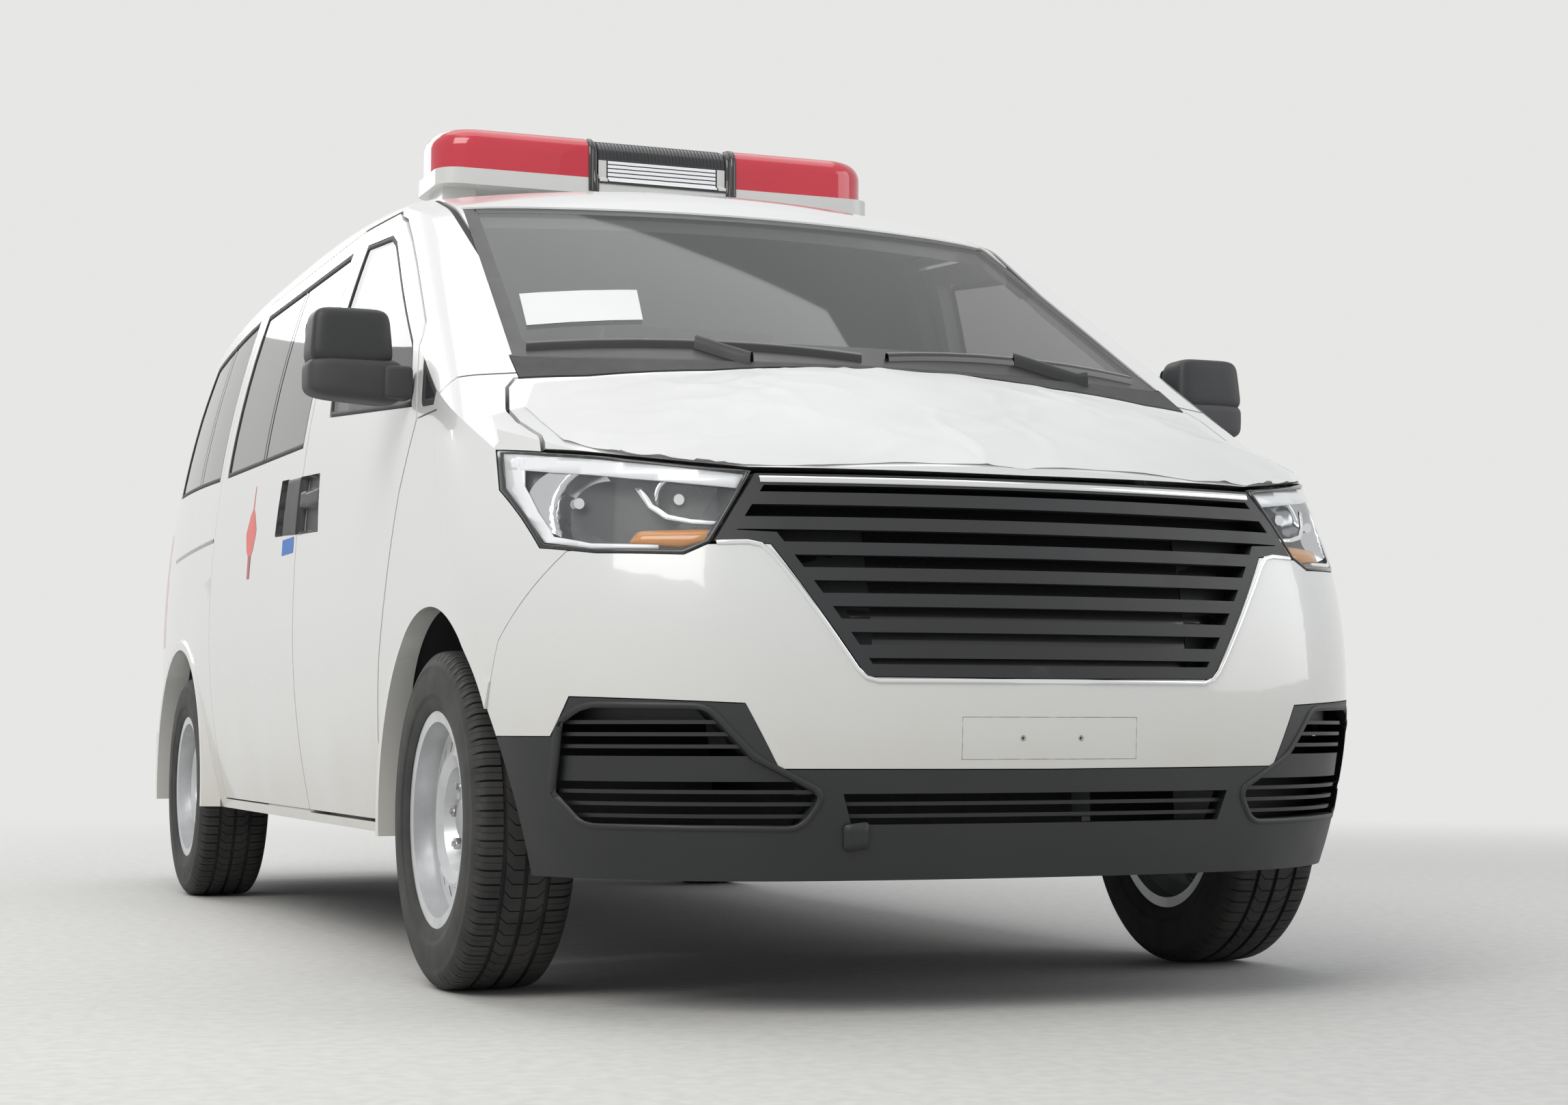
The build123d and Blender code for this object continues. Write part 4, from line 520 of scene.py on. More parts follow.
DOOR_GLASS = mm([(-1424, 1212), (-1334, 1368), (-1191, 1462), (-960, 1614), (-859, 1676), (-778, 1706),
                 (-468, 1736), (-440, 1560), (-535, 1288)])
QUARTER_GLASS = mm([(-1508, 1202), (-1622, 1194), (-1630, 1222), (-1462, 1318)])
SLIDE_GLASS = mm([(-254, 1240), (-290, 1748), (870, 1754), (872, 1262)])
REAR_GLASS = mm([(1000, 1264), (1002, 1762), (1900, 1730), (2010, 1560), (2080, 1300)])
TAIL_GLASS = mm([(-560, 1300), (560, 1300), (500, 1740), (-500, 1740)])
LAMP_OUTLINE = mm([(531, 1000), (631, 1012), (728, 1027), (836, 1048), (897, 1064), (904, 982), (886, 923),
                   (869, 863), (795, 849), (664, 843), (620, 864), (577, 930)])
GRILLE = mm([(-361, 622), (361, 622), (516, 864), (600, 869), (565, 930), (523, 990), (-523, 990), (-565, 930),
             (-600, 869), (-516, 864)])
FOG_RECESS = mm([(640, 560), (820, 564), (848, 536), (850, 409), (808, 353), (474, 351), (440, 405), (562, 470),
                 (592, 504)])
SCREEN = mm([(-685, -897), (0, -1012), (685, -897), (772, -1649), (0, -1838), (-772, -1649)])
WHEELS = (("wheel_front_left", 0.842, -1.69), ("wheel_front_right", -0.842, -1.69),
          ("wheel_rear_left", 0.830, 1.51), ("wheel_rear_right", -0.830, 1.51))
HUB_Z = 0.342

SIDE_NAME = {1: "left", -1: "right"}


def mirrored(points, sign):
    """Outline drawn for the left side, on the side of sign."""
    return [(sign * x, z) for x, z in points]


def arc(a, middle, b, count=12):
    """Points on a parabola through three points, the middle one half-way."""
    a, m, b = Vector(a), Vector(middle), Vector(b)
    control = m * 2 - (a + b) / 2
    return [a * (1 - t) ** 2 + control * 2 * t * (1 - t) + b * t * t for t in (k / count for k in range(count))]


# Window seals and the printed edge of the glass

windows = tree_of("side_windows")
for sign, side in SIDE_NAME.items():
    door_glass = tree_of("door_glass_" + side)
    band("door_window_seal_" + side, rounded(DOOR_GLASS, 0.02), 0.014, door_glass, from_side(sign), 0.003, "rubber",
         "door_" + side)
    for name, outline in (("quarter", QUARTER_GLASS), ("slide", SLIDE_GLASS), ("rear", REAR_GLASS)):
        band(f"{name}_window_seal_{side}", rounded(outline, 0.02), 0.016, windows, from_side(sign), 0.003, "rubber")
    for name, strip in (("window", [(1454, 1262), (1466, 1262), (1448, 1748), (1436, 1748)]),
                        ("slide_window", [(296, 1256), (310, 1256), (296, 1750), (282, 1750)])):
        patch(f"{name}_division_{side}", mm(strip), windows, from_side(sign), 0.003, "rubber")

tail_glass = tree_of("tailgate_glass")
band("tail_window_edge", rounded(TAIL_GLASS, 0.03), 0.035, tail_glass, from_rear, 0.0012, "frit", "tailgate_lid",
     depth=0.001)

screen_outline = arc(SCREEN[0], SCREEN[1], SCREEN[2]) + [Vector(SCREEN[2])]
screen_outline += arc(SCREEN[3], SCREEN[4], SCREEN[5]) + [Vector(SCREEN[5])]
screen = tree_of("windscreen")
band("windscreen_frit", inset(screen_outline, 0.001), 0.032, screen, from_above, 0.0008, "frit", depth=0.0006)
lower_frit = arc((0.772, -1.640), (0, -1.828), (-0.772, -1.640), 24) + [Vector((-0.772, -1.640))]
upper = arc((-0.762, -1.575), (0, -1.735), (0.762, -1.575), 24) + [Vector((0.762, -1.575))]
patch("windscreen_low_band", lower_frit + upper, screen, from_above, 0.0010, "frit")

# Wheels: tyres with tread blocks, nuts, caps and valves

TYRE_HALF = [(84, 219.5, "wall"), (97, 219.5, "wall"), (100, 226, "wall"), (103.4, 240, "wall"),
             (104.6, 248, "wall"), (106.2, 250, "wall"), (106.8, 256, "wall"), (107.2, 262, "wall"),
             (107.4, 278, "wall"), (106.6, 295, "wall"), (104.6, 306, "wall"), (105.2, 309, "wall"),
             (104.2, 313, "wall"), (101.0, 320, "wall"), (97.0, 326.5, "edge"), (93.5, 331, "edge"),
             (90.5, 334.6, "block"), (86.5, 337.4, "block"), (80, 339.6, "block"), (66, 340.9, "block"),
             (50, 341.3, "block"), (49, 333.5, "groove"), (41, 333.5, "groove"), (40, 341.6, "rib"),
             (26, 341.8, "rib"), (12, 342, "rib"), (5, 342, "rib"), (4.2, 333.5, "groove")]
TREAD_PITCH = ((0.0, 6.5, 0), (0.10, 6.5, 0), (0.13, 0, 0), (0.47, 0, 0), (0.49, 1.2, 4.5), (0.55, 1.2, 4.5),
               (0.57, 0, 0), (0.97, 0, 0))
PITCH_COUNT = 74
MIDDLE_RIBS = 30
NUT_RINGS = ((25.2, 17.5), (28, 17.5), (29, 13.5), (42, 13.5), (44.5, 11.5), (44.6, 6.5), (49, 6.2), (50, 4.5),
             (50, 0.1))
NUT_CIRCLE, NUT_SIDES = 0.069, 12
HUB_CAP = ((14, 45.5), (30, 45), (38, 43), (43, 38), (46, 30), (47.5, 16), (48, 0.2))
VALVE = ((0.040, 0.186), (0.058, 0.180), (0.072, 0.176))


def tyre(body, x, y):
    """Tyre from its half section, in millimetres, with blocks and slits cut pitch by pitch."""
    out = math.copysign(1, x)
    profile = TYRE_HALF + [(-u, r, zone) for u, r, zone in reversed(TYRE_HALF)]
    turns = [((k + at) / PITCH_COUNT, cut, slit) for k in range(PITCH_COUNT) for at, cut, slit in TREAD_PITCH]
    vertices = []
    for u, radius, zone in profile:
        for turn, cut, slit in turns:
            if zone == "rib" and abs(u) < MIDDLE_RIBS:
                turn += 0.5 / PITCH_COUNT
            depth = {"block": cut, "edge": cut * 0.55, "rib": slit}.get(zone, 0)
            angle, r = 2 * math.pi * turn, (radius - depth) / 1000
            vertices.append((x + out * u / 1000, y + r * math.cos(angle), HUB_Z + r * math.sin(angle)))
    name = body.replace("wheel", "tyre")
    obj = piece(name + "_tread", vertices, ring_faces(len(turns), len(profile)), "tyre_rubber", body, True)
    split = obj.modifiers.new("edges", "EDGE_SPLIT")
    split.split_angle = math.radians(38)
    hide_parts(name)


def nuts(body, x, y):
    """Six wheel nuts and their studs as one mesh."""
    out, vertices, faces = math.copysign(1, x), [], []
    for k in range(6):
        turn = math.radians(60 * k + 12)
        cy, cz = y + NUT_CIRCLE * math.cos(turn), HUB_Z + NUT_CIRCLE * math.sin(turn)
        start = len(vertices)
        for level, (along, radius) in enumerate(NUT_RINGS):
            for n in range(NUT_SIDES):
                angle = 2 * math.pi * n / NUT_SIDES
                hexed = math.cos(math.radians(30)) / math.cos((angle % math.radians(60)) - math.radians(30))
                r = radius / 1000 * (hexed if level in (2, 3) else 1)
                vertices.append((x + out * along / 1000, cy + r * math.cos(angle), cz + r * math.sin(angle)))
        faces += [tuple(start + i for i in face) for face in ring_faces(NUT_SIDES, len(NUT_RINGS))]
    piece(body.replace("wheel", "nuts"), vertices, faces, "nut_steel", body, False)


for body, x, y in WHEELS:
    out = math.copysign(1, x)
    tyre(body, x, y)
    nuts(body, x, y)
    lathe(body.replace("wheel", "hub_cap"), mm(HUB_CAP), (x, y, HUB_Z), out, "nut_steel", body, 48)
    turn = math.radians(200)
    valve = [(x + out * u, y + r * math.cos(turn), HUB_Z + r * math.sin(turn)) for u, r in VALVE]
    tube(body.replace("wheel", "valve"), valve, 0.0042, "rubber", body)

# Headlamps: dish, reflector bowls, bright blades and side lamp behind the clear lens

lens = tree_of("headlamp_lenses")
BOWLS = ((0.800, 0.946, 0.074), (0.648, 0.948, 0.046))
BOWL_DEPTH = 0.046
BLADES = (("top", -0.007, "lamp_white", 0.003, mm([
               (544, 992), (631, 1004), (728, 1019), (836, 1040), (889, 1055), (890, 1022), (836, 1008), (728, 988),
               (640, 976), (556, 966)])),
          ("outer", -0.007, "lamp_white", 0.003, mm([
               (889, 1054), (896, 985), (879, 925), (861, 872), (800, 857), (700, 853), (700, 860), (798, 866),
               (848, 882), (864, 932), (874, 985), (866, 1040)])),
          ("inner", -0.012, "chrome", 0.004, mm([
               (722, 968), (706, 930), (682, 908), (640, 899), (590, 896), (588, 902), (640, 907), (676, 916),
               (698, 936), (712, 970)])))
INDICATOR = mm([(600, 868), (612, 888), (725, 886), (742, 864), (664, 856)])


def bowl(name, sign, x, z, radius, face_y, mat, rings=10, segments=40):
    """Facetted reflector facing forward, kept behind the lens."""
    vertices = []
    for ring in range(rings + 1):
        r = radius * ring / rings
        for k in range(segments):
            turn = 2 * math.pi * k / segments
            at = (sign * (x + r * math.cos(turn)), z + r * math.sin(turn))
            cover = thrown(lens, [at], from_front, -0.013)[0].y
            vertices.append((at[0], max(cover, face_y + BOWL_DEPTH * (1 - (ring / rings) ** 2)), at[1]))
    piece(name, vertices, ring_faces(segments, rings + 1), mat, "body", True)


for sign, side in SIDE_NAME.items():
    outline = mirrored(LAMP_OUTLINE, sign)
    edge = resample(inset(outline, 0.002), 0.02)
    rows = [(edge, -0.0095), (inset(edge, 0.004), -0.012), (inset(edge, 0.010), -0.030), (inset(edge, 0.020), -0.055)]
    vertices = []
    for row, lift in rows:
        vertices += thrown(lens, row, from_front, lift)
    faces = ring_faces(len(edge), len(rows)) + [tuple(range(3 * len(edge), 4 * len(edge)))]
    dish = piece("headlamp_dish_" + side, vertices, faces, "lamp_dark")
    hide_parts("headlamp_housings")
    band("headlamp_edge_" + side, outline, 0.007, lens, from_front, 0.0008, "black_gloss", depth=0.004)
    for name, lift, mat, thick, points in BLADES:
        patch(f"headlamp_{name}_blade_{side}", mirrored(points, sign), lens, from_front, lift, mat, thick=thick)
    patch("headlamp_indicator_" + side, rounded(mirrored(INDICATOR, sign), 0.006), lens, from_front, -0.016, "amber",
          thick=0.006)
    for number, (x, z, radius) in enumerate(BOWLS):
        middle = thrown(lens, [(sign * x, z)], from_front, -0.030)[0]
        bowl(f"headlamp_bowl_{number + 1}_{side}", sign, x, z, radius, middle.y + 0.004, "reflector")
        tube(f"headlamp_bulb_{number + 1}_{side}", [middle + Vector((0, 0.034, 0)), middle + Vector((0, 0.010, 0))],
             0.0105, "chrome")

# Grille: bright frame and dark backing; plate panel with a painted shadow line round it, lips of the fog recesses and
# towing cover

front = tree_of("front_bumper", "bumper_cladding", "front_wings", "bonnet", "radiator_grille", "headlamp_lenses",
                "front_carrier", "engine_block")
grille_tree = tree_of("radiator_grille")
bumper_tree = tree_of("front_bumper", "front_wings", "radiator_grille")
frame_line = mm([(610, 864), (556, 865), (534, 860), (516, 842), (470, 776), (378, 634), (362, 618), (340, 612)])
frame_line += [(-x, z) for x, z in reversed(frame_line)]
trim("grille_bright_frame", frame_line, 0.010, bumper_tree, from_front, 0.004, "chrome")
trim("grille_top_bar", mm([(-520, 984), (0, 984), (520, 984)]), 0.014, grille_tree, from_front, 0.004, "chrome")
patch("grille_backing", GRILLE, grille_tree, from_front, -0.048, "black_gloss", step=0.03)
holder = mm([(-182, 468), (182, 468), (182, 548), (-182, 548)])
# thin grey line painted as the shadow round the raised plate panel
band("plate_holder_border", holder, 0.0028, front, from_front, 0.0003, "seam_grey", depth=0.0006)
HOLE_X, HOLE_Z, HOLE_R = 0.060, 0.508, 0.0065
for sign, side in reversed(SIDE_NAME.items()):
    ring = [(sign * HOLE_X + HOLE_R * math.cos(t), HOLE_Z + HOLE_R * math.sin(t))
            for t in (2 * math.pi * k / 16 for k in range(16))]
    band("plate_hole_rim_" + side, ring, 0.0028, front, from_front, 0.0003, "nut_steel", depth=0.0006)
cladding = tree_of("bumper_cladding")
for sign, side in SIDE_NAME.items():
    grown = inset(rounded(mirrored(FOG_RECESS, sign), 0.02), -0.012)
    band("fog_frame_lip_" + side, grown, 0.012, cladding, from_front, 0.003, "dark_plastic", depth=0.004)
cover = rounded(mm([(-398, 352), (-350, 358), (-346, 308), (-392, 302)]), 0.01)
patch("towing_cover", cover, front, from_front, 0.004, "dark_plastic", thick=0.003)

# Wipers and the sheet of paper on the screen

for name, tip, heel, pivot in (("wiper_right", (-0.735, -1.622), (-0.045, -1.800), (-0.30, -1.812)),
                               ("wiper_left", (0.02, -1.790), (0.70, -1.640), (0.52, -1.764))):
    middle = ((tip[0] + heel[0]) / 2, (tip[1] + heel[1]) / 2 - 0.006)
    trim(name + "_blade", [tip, middle, heel], 0.016, screen, from_above, 0.016, "black_gloss")
    elbow = ((pivot[0] + middle[0]) / 2, (pivot[1] + middle[1]) / 2 - 0.004)
    trim(name + "_arm", [pivot, elbow, middle], 0.020, screen, from_above, 0.026, "dark_plastic")
paper = mm([(-680, -1375), (-424, -1425), (-459, -1571), (-705, -1522)])
patch("screen_paper", paper, screen, from_above, 0.0006, "paper")

# Handles, markings and tape on the sides


def edge_distance(point, outline):
    """Distance of a 2D point from a closed outline, negative outside it."""
    best, hit = 1e9, False
    for a, b in zip(outline, outline[1:] + outline[:1]):
        a, b = Vector(a), Vector(b)
        share = min(1.0, max(0.0, (point - a).dot(b - a) / (b - a).length_squared))
        best = min(best, (point - a.lerp(b, share)).length)
        if (a.y > point.y) != (b.y > point.y):
            hit ^= point.x < (b.x - a.x) * (point.y - a.y) / (b.y - a.y) + a.x
    return best if hit else -best


LINER_STEP, LINER_RIM = 0.006, 0.0015


def liner(name, outline, tree, sign, mat, body):
    """Moulded insert of a recess: its rim level with the skin, its floor and grip just over the solid's."""
    outline = [Vector(p) for p in outline]
    mid = sum(outline, Vector((0, 0))) / len(outline)
    sheet = patch(name, outline, tree, from_side(sign), 0.0, mat, body, LINER_STEP)
    around = [Vector((a, b)) * LINER_STEP * 0.8 for a, b in ((0, 0), (1, 0), (-1, 0), (0, 1), (0, -1))]
    for vertex in sheet.data.vertices:
        flat = Vector((vertex.co.y, vertex.co.z))
        if edge_distance(flat, outline) < LINER_RIM:
            out = flat + (flat - mid).normalized() * 0.006
            vertex.co.x = thrown(tree, [out], from_side(sign), 0.0006)[0].x
        else:
            depths = [thrown(tree, [flat + near], from_side(sign), 0.0014)[0].x * sign for near in around
                      if near.length == 0 or edge_distance(flat + near, outline) > 0.001]
            vertex.co.x = sign * max(depths)


FRONT_HANDLE = mm([(-560, 1006), (-521, 1150), (-311, 1162), (-311, 1013)])
REAR_HANDLE = mm([(-299, 1015), (-299, 1162), (-32, 1174), (-12, 1030)])
slide = tree_of("sliding_doors")
for sign, side in SIDE_NAME.items():
    for name, outline, tree, body in (("door_handle_", FRONT_HANDLE, tree_of("front_door_" + side), "door_" + side),
                                      ("sliding_door_handle_", REAR_HANDLE, slide, "body")):
        liner(name + side, rounded(outline, 0.004, 2), tree, sign, "dark_plastic", body)
tape = mm([(-272, 971), (-272, 1012), (-125, 1012), (-125, 971)])
patch("blue_tape", tape, slide, from_side(-1), 0.0006, "blue_tape")
mark = mm([(296, 1016), (345, 984), (394, 1016), (420, 1066), (376, 1116), (352, 1130), (349, 1194), (341, 1194),
           (338, 1130), (314, 1116), (270, 1066)])
patch("side_mark", rounded(mark, 0.004, 2), slide, from_side(-1), 0.0005, "coral")
patch("side_mark_foot", mm([(326, 1000), (364, 1000), (360, 936), (330, 936)]), slide, from_side(-1), 0.0009,
      "deep_red")

# Light bar: rings at the ends of its middle

BAR_CENTRE = Vector((0, -0.25, 2.022))
BAR_RING_TURNS, BAR_RING_HALF = 72, 0.007
bar = tree_of("light_bar_lenses", "light_bar_speaker", "light_bar_base")


def from_bar(p):
    """Start and direction for a point given as distance along the bar and angle around it."""
    away = Vector((0, math.cos(p[1]), math.sin(p[1])))
    return Vector((p[0], 0, 0)) + BAR_CENTRE + away * 0.4, -away


for number, x in enumerate((-0.200, -0.186, 0.186, 0.200)):
    near, far = ([(edge, 2 * math.pi * k / BAR_RING_TURNS) for k in range(BAR_RING_TURNS)]
                 for edge in (x - BAR_RING_HALF, x + BAR_RING_HALF))
    vertices = []
    for row, lift in ((near, -0.002), (near, 0.003), (far, 0.003), (far, -0.002)):
        vertices += thrown(bar, row, from_bar, lift)
    piece(f"bar_ring_{number + 1}", vertices, ring_faces(BAR_RING_TURNS, 4), "black_gloss")

# Mirrors: housing with its ledge, lower shell, foot and glass


def narrow_top(p):
    return Vector((p.x * (1 - 0.06 * p.z), p.y * (1 - 0.10 * p.z), p.z))


def raised_outwards(sign):
    """Shape of a shell whose underside rises towards its outer end."""
    return lambda p: Vector((p.x, p.y * (1 + 0.05 * p.z), p.z + (0.16 * sign * p.x + 0.02) * (1 - p.z) * 0.5))


for sign, side in SIDE_NAME.items():
    x0, x1 = sorted((sign * 0.968, sign * 1.142))
    upper = soft_box("mirror_housing_" + side, (x0, -1.415, 1.300), (x1, -1.304, 1.424), 0.34, "dark_plastic",
                     "door_" + side, narrow_top)
    x0, x1 = sorted((sign * 0.940, sign * 1.149))
    lower = soft_box("mirror_shell_" + side, (x0, -1.419, 1.224), (x1, -1.300, 1.318), 0.42, "cabin_plastic",
                     "door_" + side, raised_outwards(sign))
    x0, x1 = sorted((sign * 0.925, sign * 0.99))
    foot = soft_box("mirror_foot_" + side, (x0, -1.424, 1.229), (x1, -1.362, 1.302), 0.3, "cabin_plastic",
                    "door_" + side, rows=12, columns=24)
    for made in (upper, lower, foot):
        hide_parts("door_mirror_" + side)
    pane = mirrored(rounded(mm([(976, 1258), (1136, 1246), (1136, 1408), (976, 1408)]), 0.022), sign)
    patch("mirror_glass_" + side, pane, tree_of("door_mirror_" + side), from_rear, 0.0008, "mirror", "door_" + side,
          0.03)

# Loose protective film on the bonnet

film_half = [(0, -2.466), (0.40, -2.428), (0.60, -2.368), (0.735, -2.262), (0.808, -2.13), (0.812, -1.99),
             (0.806, -1.86), (0.762, -1.776), (0.60, -1.812), (0.40, -1.846), (0, -1.866)]
film_outline = film_half + [(-x, y) for x, y in reversed(film_half[1:-1])]
FOLD_COUNT, HIGHEST_FOLD = 46, 0.011
film = patch("bonnet_film", film_outline, tree_of("bonnet"), from_above, 0.0012, "film", "bonnet_lid", 0.0125)
folds = []
for k in range(FOLD_COUNT):
    across, back, long, high, wide = ((k * step) % 1.0 for step in (0.6180339, 0.7548777, 0.3819, 0.517, 0.291))
    angle = 1.25 + 1.3 * math.sin(7.3 * k)
    start = Vector((-0.76 + 1.52 * across, -1.86 - 0.56 * back))
    folds.append((start, Vector((math.cos(angle), math.sin(angle))), 0.05 + 0.11 * long, 0.0022 + 0.0042 * high,
                  0.007 + 0.009 * wide))
for vertex in film.data.vertices:
    flat = Vector((vertex.co.x, vertex.co.y))
    rise = 0.0
    for start, run, length, height, width in folds:
        away = flat - start
        along = away.dot(run)
        across = away.x * run.y - away.y * run.x + 0.012 * math.sin(along * 31)
        rise += height * math.exp(-(across / width) ** 2 - (along / length) ** 2)
    rise += 0.0014 * (1 + math.sin(flat.x * 37 + 3 * math.sin(flat.y * 19))) * (0.5 + 0.5 * math.sin(flat.y * 23))
    vertex.co.z += min(rise, HIGHEST_FOLD)
film.data.update()

# Seats, bench and stretcher


def seat_cushion(p):
    """Crowned cushion with a channel along each side."""
    waist = 1 - 0.05 * math.cos(p.z * 1.4) * abs(p.x * p.y)
    crown = 0.10 * (1 - p.x ** 2) * (1 - p.y ** 2)
    channel = 0.05 * math.exp(-((abs(p.x) - 0.55) / 0.06) ** 2)
    return Vector((p.x * waist, p.y * waist, p.z * 0.92 + (crown - channel if p.z > 0 else 0)))


def back_cushion(p):
    crown = 0.14 * (1 - p.x ** 2) * (1 - p.z ** 2)
    channel = 0.10 * math.exp(-((abs(p.x) - 0.55) / 0.07) ** 2)
    front = p.y * 0.62 + (-(crown - channel) if p.y < 0 else 0)
    return Vector((p.x * (1 - 0.10 * max(0, p.z)), front + 0.30 * p.z, p.z))


for sign, side in SIDE_NAME.items():
    x = 0.43 * sign
    base = soft_box("seat_cushion_" + side, (x - 0.25, -0.93, 0.735), (x + 0.25, -0.42, 0.858), 0.42, "upholstery",
                    shape=seat_cushion)
    rest = soft_box("seat_back_" + side, (x - 0.235, -0.545, 0.80), (x + 0.235, -0.345, 1.438), 0.42, "upholstery",
                    shape=back_cushion)
    plinth = box("seat_plinth_" + side, (x - 0.20, -0.85, 0.60), (x + 0.20, -0.45, 0.745), "cabin_plastic")
    for made in (base, rest, plinth):
        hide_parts("cab_seats")


def pad(p):
    """Flat pad, a little crowned on top."""
    return Vector((p.x, p.y, p.z * 0.94 + (0.06 * (1 - p.x ** 4) * (1 - p.y ** 4) if p.z > 0 else 0)))


bench_box = box("bench_box", (0.42, -0.15, 0.60), (0.78, 1.0, 0.958), "cabin_panel")
bench_seat = soft_box("bench_cushion", (0.412, -0.148, 0.958), (0.70, 0.998, 1.04), 0.3, "vinyl", shape=pad)
bench_back = soft_box("bench_back", (0.69, -0.148, 1.035), (0.78, 0.998, 1.44), 0.3, "vinyl")
mattress = soft_box("stretcher_mattress", (-0.262, 0.27, 0.938), (0.262, 2.16, 1.012), 0.26, "vinyl", shape=pad,
                    rows=20, columns=80)
bed = box("stretcher_bed", (-0.28, 0.25, 0.90), (0.28, 2.18, 0.94), "nut_steel", round_by=0.015)
legs = [tube(f"stretcher_leg_{k + 1}", [(a, b, 0.602), (a, b, 0.902)], 0.018, "nut_steel")
        for k, (a, b) in enumerate(((-0.22, 0.45), (0.22, 0.45), (-0.22, 1.88), (0.22, 1.88)))]
for made in [bench_box, bench_seat, bench_back, mattress, bed] + legs:
    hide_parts("bench_and_stretcher")

# Light bar middle: ribbed dark half, louvred half and white end blocks

BAR_HALF = 0.178
RIB_COUNT, RIB_STEP = 36, 0.0098
LOUVRE_COUNT, LOUVRE_STEP = 5, 4.7


def bar_strip(name, x0, x1, low, high, lift, mat):
    """Strip along the bar between two angles around it, in degrees."""
    low, high = math.radians(low), math.radians(high)
    patch(name, [(x0, low), (x1, low), (x1, high), (x0, high)], bar, from_bar, lift, mat)


bar_strip("bar_dark_half", -BAR_HALF, BAR_HALF, 96, 178, 0.0030, "lamp_dark")
bar_strip("bar_light_half", -BAR_HALF, BAR_HALF, 178, 204, 0.0030, "black_gloss")
for k in range(RIB_COUNT):
    bar_strip(f"bar_rib_{k + 1}", -0.1755 + RIB_STEP * k, -0.1713 + RIB_STEP * k, 98, 176, 0.0044, "black_gloss")
for k in range(LOUVRE_COUNT):
    bar_strip(f"bar_louvre_{k + 1}", -0.152, 0.152, 179.2 + LOUVRE_STEP * k, 182.6 + LOUVRE_STEP * k, 0.0046,
              "lamp_white")
for sign, side in SIDE_NAME.items():
    block_end = [(sign * x, math.radians(turn))
                 for x, turn in ((0.156, 179), (BAR_HALF, 179), (BAR_HALF, 202), (0.156, 202))]
    patch("bar_white_end_" + side, block_end, bar, from_bar, 0.0048, "bar_shell")

# Tail: lamp segments, plate panel with a painted shadow line round it, handle and wiper

tail_lamps = tree_of("tail_lamps")
for sign, side in SIDE_NAME.items():
    for name, low, high, mat in (("turn", 0.985, 1.045, "amber"), ("reverse", 0.925, 0.980, "lens_white")):
        outline = [(sign * 0.786, low), (sign * 0.880, low), (sign * 0.880, high), (sign * 0.786, high)]
        patch(f"tail_{name}_{side}", rounded(outline, 0.008), tail_lamps, from_rear, 0.0022, mat, step=0.006)
plate = mm([(-185, 655), (185, 655), (185, 745), (-185, 745)])
gate = tree_of("tailgate")
# thin grey line painted as the shadow round the plate panel
band("rear_plate_border", plate, 0.003, gate, from_rear, 0.0008, "seam_grey", "tailgate_lid", depth=0.002)
trim("tailgate_handle", mm([(-150, 800), (150, 800)]), 0.038, gate, from_rear, 0.014, "dark_plastic", "tailgate_lid")
trim("rear_wiper_blade", mm([(-330, 1330), (40, 1338)]), 0.014, tail_glass, from_rear, 0.012, "black_gloss",
     "tailgate_lid")
trim("rear_wiper_arm", mm([(60, 1270), (20, 1318), (-150, 1336)]), 0.018, tree_of("tailgate_glass", "tailgate"),
     from_rear, 0.016, "dark_plastic", "tailgate_lid")

# Rails of the sliding doors

rear_side = tree_of("body_side_left", "body_side_right", "sliding_doors")
for sign, side in SIDE_NAME.items():
    trim("slide_rail_" + side, mm([(975, 1084), (1900, 1076)]), 0.014, rear_side, from_side(sign), 0.0014,
         "black_gloss")

# Front wings: the arch's lip runs out into the panel towards the bumper

LIP_LIMIT = mm([(-2090, 936), (-2076, 937), (-2060, 940), (-2040, 943), (-2020, 946.5), (-2000, 949.5),
                (-1975, 953.5), (-1950, 956.5), (-1930, 959)])
NO_LIMIT = 2.0


def lip_limit(y):
    """Distance from the middle that the wing keeps within at y."""
    for (y0, x0), (y1, x1) in zip(LIP_LIMIT, LIP_LIMIT[1:]):
        if y0 <= y <= y1:
            return x0 + (x1 - x0) * (y - y0) / (y1 - y0)
    return NO_LIMIT


wings = NODES["front_wings"].data
shaped = [Vector((math.copysign(min(abs(v.co.x), lip_limit(v.co.y)), v.co.x), v.co.y, v.co.z))
          for v in wings.vertices]
wing_panels = piece("front_wing_panels", shaped, [list(p.vertices) for p in wings.polygons], "white_paint")
for polygon, source in zip(wing_panels.data.polygons, wings.polygons):
    polygon.use_smooth = source.use_smooth
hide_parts("front_wings")

# Floor, light and camera

FLOOR_RADIUS = 40
FADE_FROM, FADE_TO = 3.2, 9.0
BACKDROP = (0.80, 0.80, 0.79, 1)
ROOM_LIGHT, ROOM_STRENGTH = (0.86, 0.92, 1.0, 1), 0.42
CAMERA_AT, FOCAL, SENSOR = (-2.2529, -6.8361, 0.5278), 59.51, 36.0
CAMERA_YAW, CAMERA_PITCH = math.radians(21.956), math.radians(3.860)

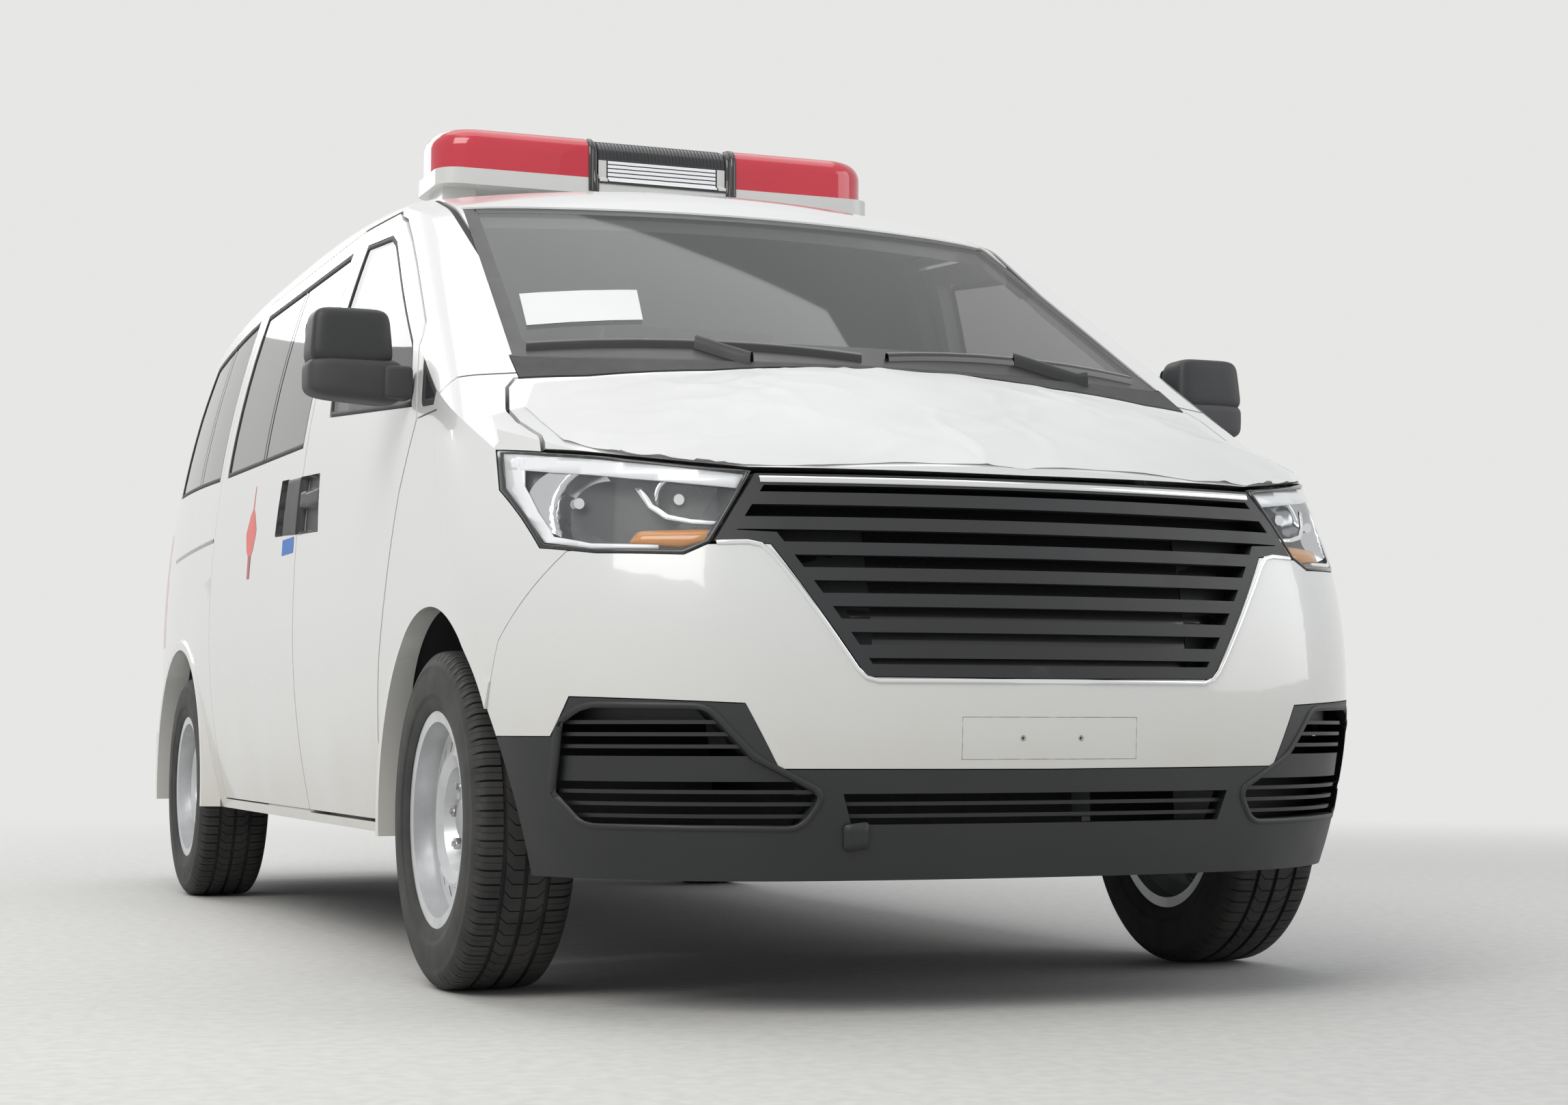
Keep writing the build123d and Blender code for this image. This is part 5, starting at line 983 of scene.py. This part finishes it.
bpy.ops.mesh.primitive_circle_add(vertices=96, radius=FLOOR_RADIUS, fill_type="NGON", location=(0, 0, 0))
floor = bpy.context.object
floor.name = "floor"
floor_mat, tree, shader, coords = nodes_of("floor_paint")
speckle = noise(tree, coords, 30.0, 3.0)
tree.links.new(blend_colours(tree, speckle, (0.60, 0.59, 0.565), (0.66, 0.65, 0.62)), shader.inputs["Base Color"])
shader.inputs["Roughness"].default_value = 0.8
add_bump(tree, shader, speckle, 0.05)
glow = tree.nodes.new("ShaderNodeEmission")
glow.inputs["Color"].default_value = BACKDROP
reach = tree.nodes.new("ShaderNodeVectorMath")
reach.operation = "LENGTH"
tree.links.new(coords.outputs["Object"], reach.inputs[0])
mix = tree.nodes.new("ShaderNodeMixShader")
tree.links.new(remapped(tree, reach.outputs["Value"], "From", FADE_FROM, FADE_TO, "SMOOTHSTEP"), mix.inputs["Fac"])
tree.links.new(shader.outputs["BSDF"], mix.inputs[1])
tree.links.new(glow.outputs["Emission"], mix.inputs[2])
tree.links.new(mix.outputs["Shader"], tree.nodes["Material Output"].inputs["Surface"])
floor.data.materials.append(floor_mat)

world = bpy.context.scene.world or bpy.data.worlds.new("World")
bpy.context.scene.world = world
world.use_nodes = True
sky = world.node_tree
sky.nodes.clear()
paths = sky.nodes.new("ShaderNodeLightPath")
behind = sky.nodes.new("ShaderNodeBackground")
behind.inputs["Color"].default_value = BACKDROP
lamp_light = sky.nodes.new("ShaderNodeBackground")
lamp_light.inputs["Color"].default_value = ROOM_LIGHT
lamp_light.inputs["Strength"].default_value = ROOM_STRENGTH
seen = combined(sky, "MAXIMUM", paths.outputs["Is Camera Ray"], paths.outputs["Is Transmission Ray"])
seen = combined(sky, "MAXIMUM", seen, paths.outputs["Is Glossy Ray"])
switch = sky.nodes.new("ShaderNodeMixShader")
out = sky.nodes.new("ShaderNodeOutputWorld")
sky.links.new(seen, switch.inputs["Fac"])
sky.links.new(lamp_light.outputs["Background"], switch.inputs[1])
sky.links.new(behind.outputs["Background"], switch.inputs[2])
sky.links.new(switch.outputs["Shader"], out.inputs["Surface"])


def lamp(name, place, aim, power, size, colour=(1, 1, 1)):
    """Square area light at place, aimed at a point."""
    light = bpy.data.lights.new(name, "AREA")
    light.energy, light.size, light.color = power, size, colour
    obj = bpy.data.objects.new(name, light)
    obj.location = place
    obj.rotation_euler = (Vector(aim) - Vector(place)).to_track_quat("-Z", "Y").to_euler()
    bpy.context.scene.collection.objects.link(obj)


lamp("key", (-6.5, -6.0, 7.5), (0, -0.6, 0.8), 540, 6.0, (1, 0.98, 0.95))
lamp("fill", (7.5, -5.0, 4.0), (0, -1.0, 0.9), 190, 6.0)
lamp("back", (-3.0, 8.5, 6.5), (0, 0.5, 1.0), 360, 6.0)
lamp("top", (0, 0.4, 8.0), (0, 0.4, 0), 190, 7.0)

camera_data = bpy.data.cameras.new("camera")
camera_data.lens, camera_data.sensor_width, camera_data.clip_end = FOCAL, SENSOR, 200.0
camera = bpy.data.objects.new("camera", camera_data)
camera.location = CAMERA_AT
level = math.cos(CAMERA_PITCH)
heading = Vector((math.sin(CAMERA_YAW) * level, math.cos(CAMERA_YAW) * level, math.sin(CAMERA_PITCH)))
camera.rotation_euler = heading.to_track_quat("-Z", "Y").to_euler()
bpy.context.scene.collection.objects.link(camera)
bpy.context.scene.camera = camera

bpy.context.scene.view_settings.view_transform = "Standard"
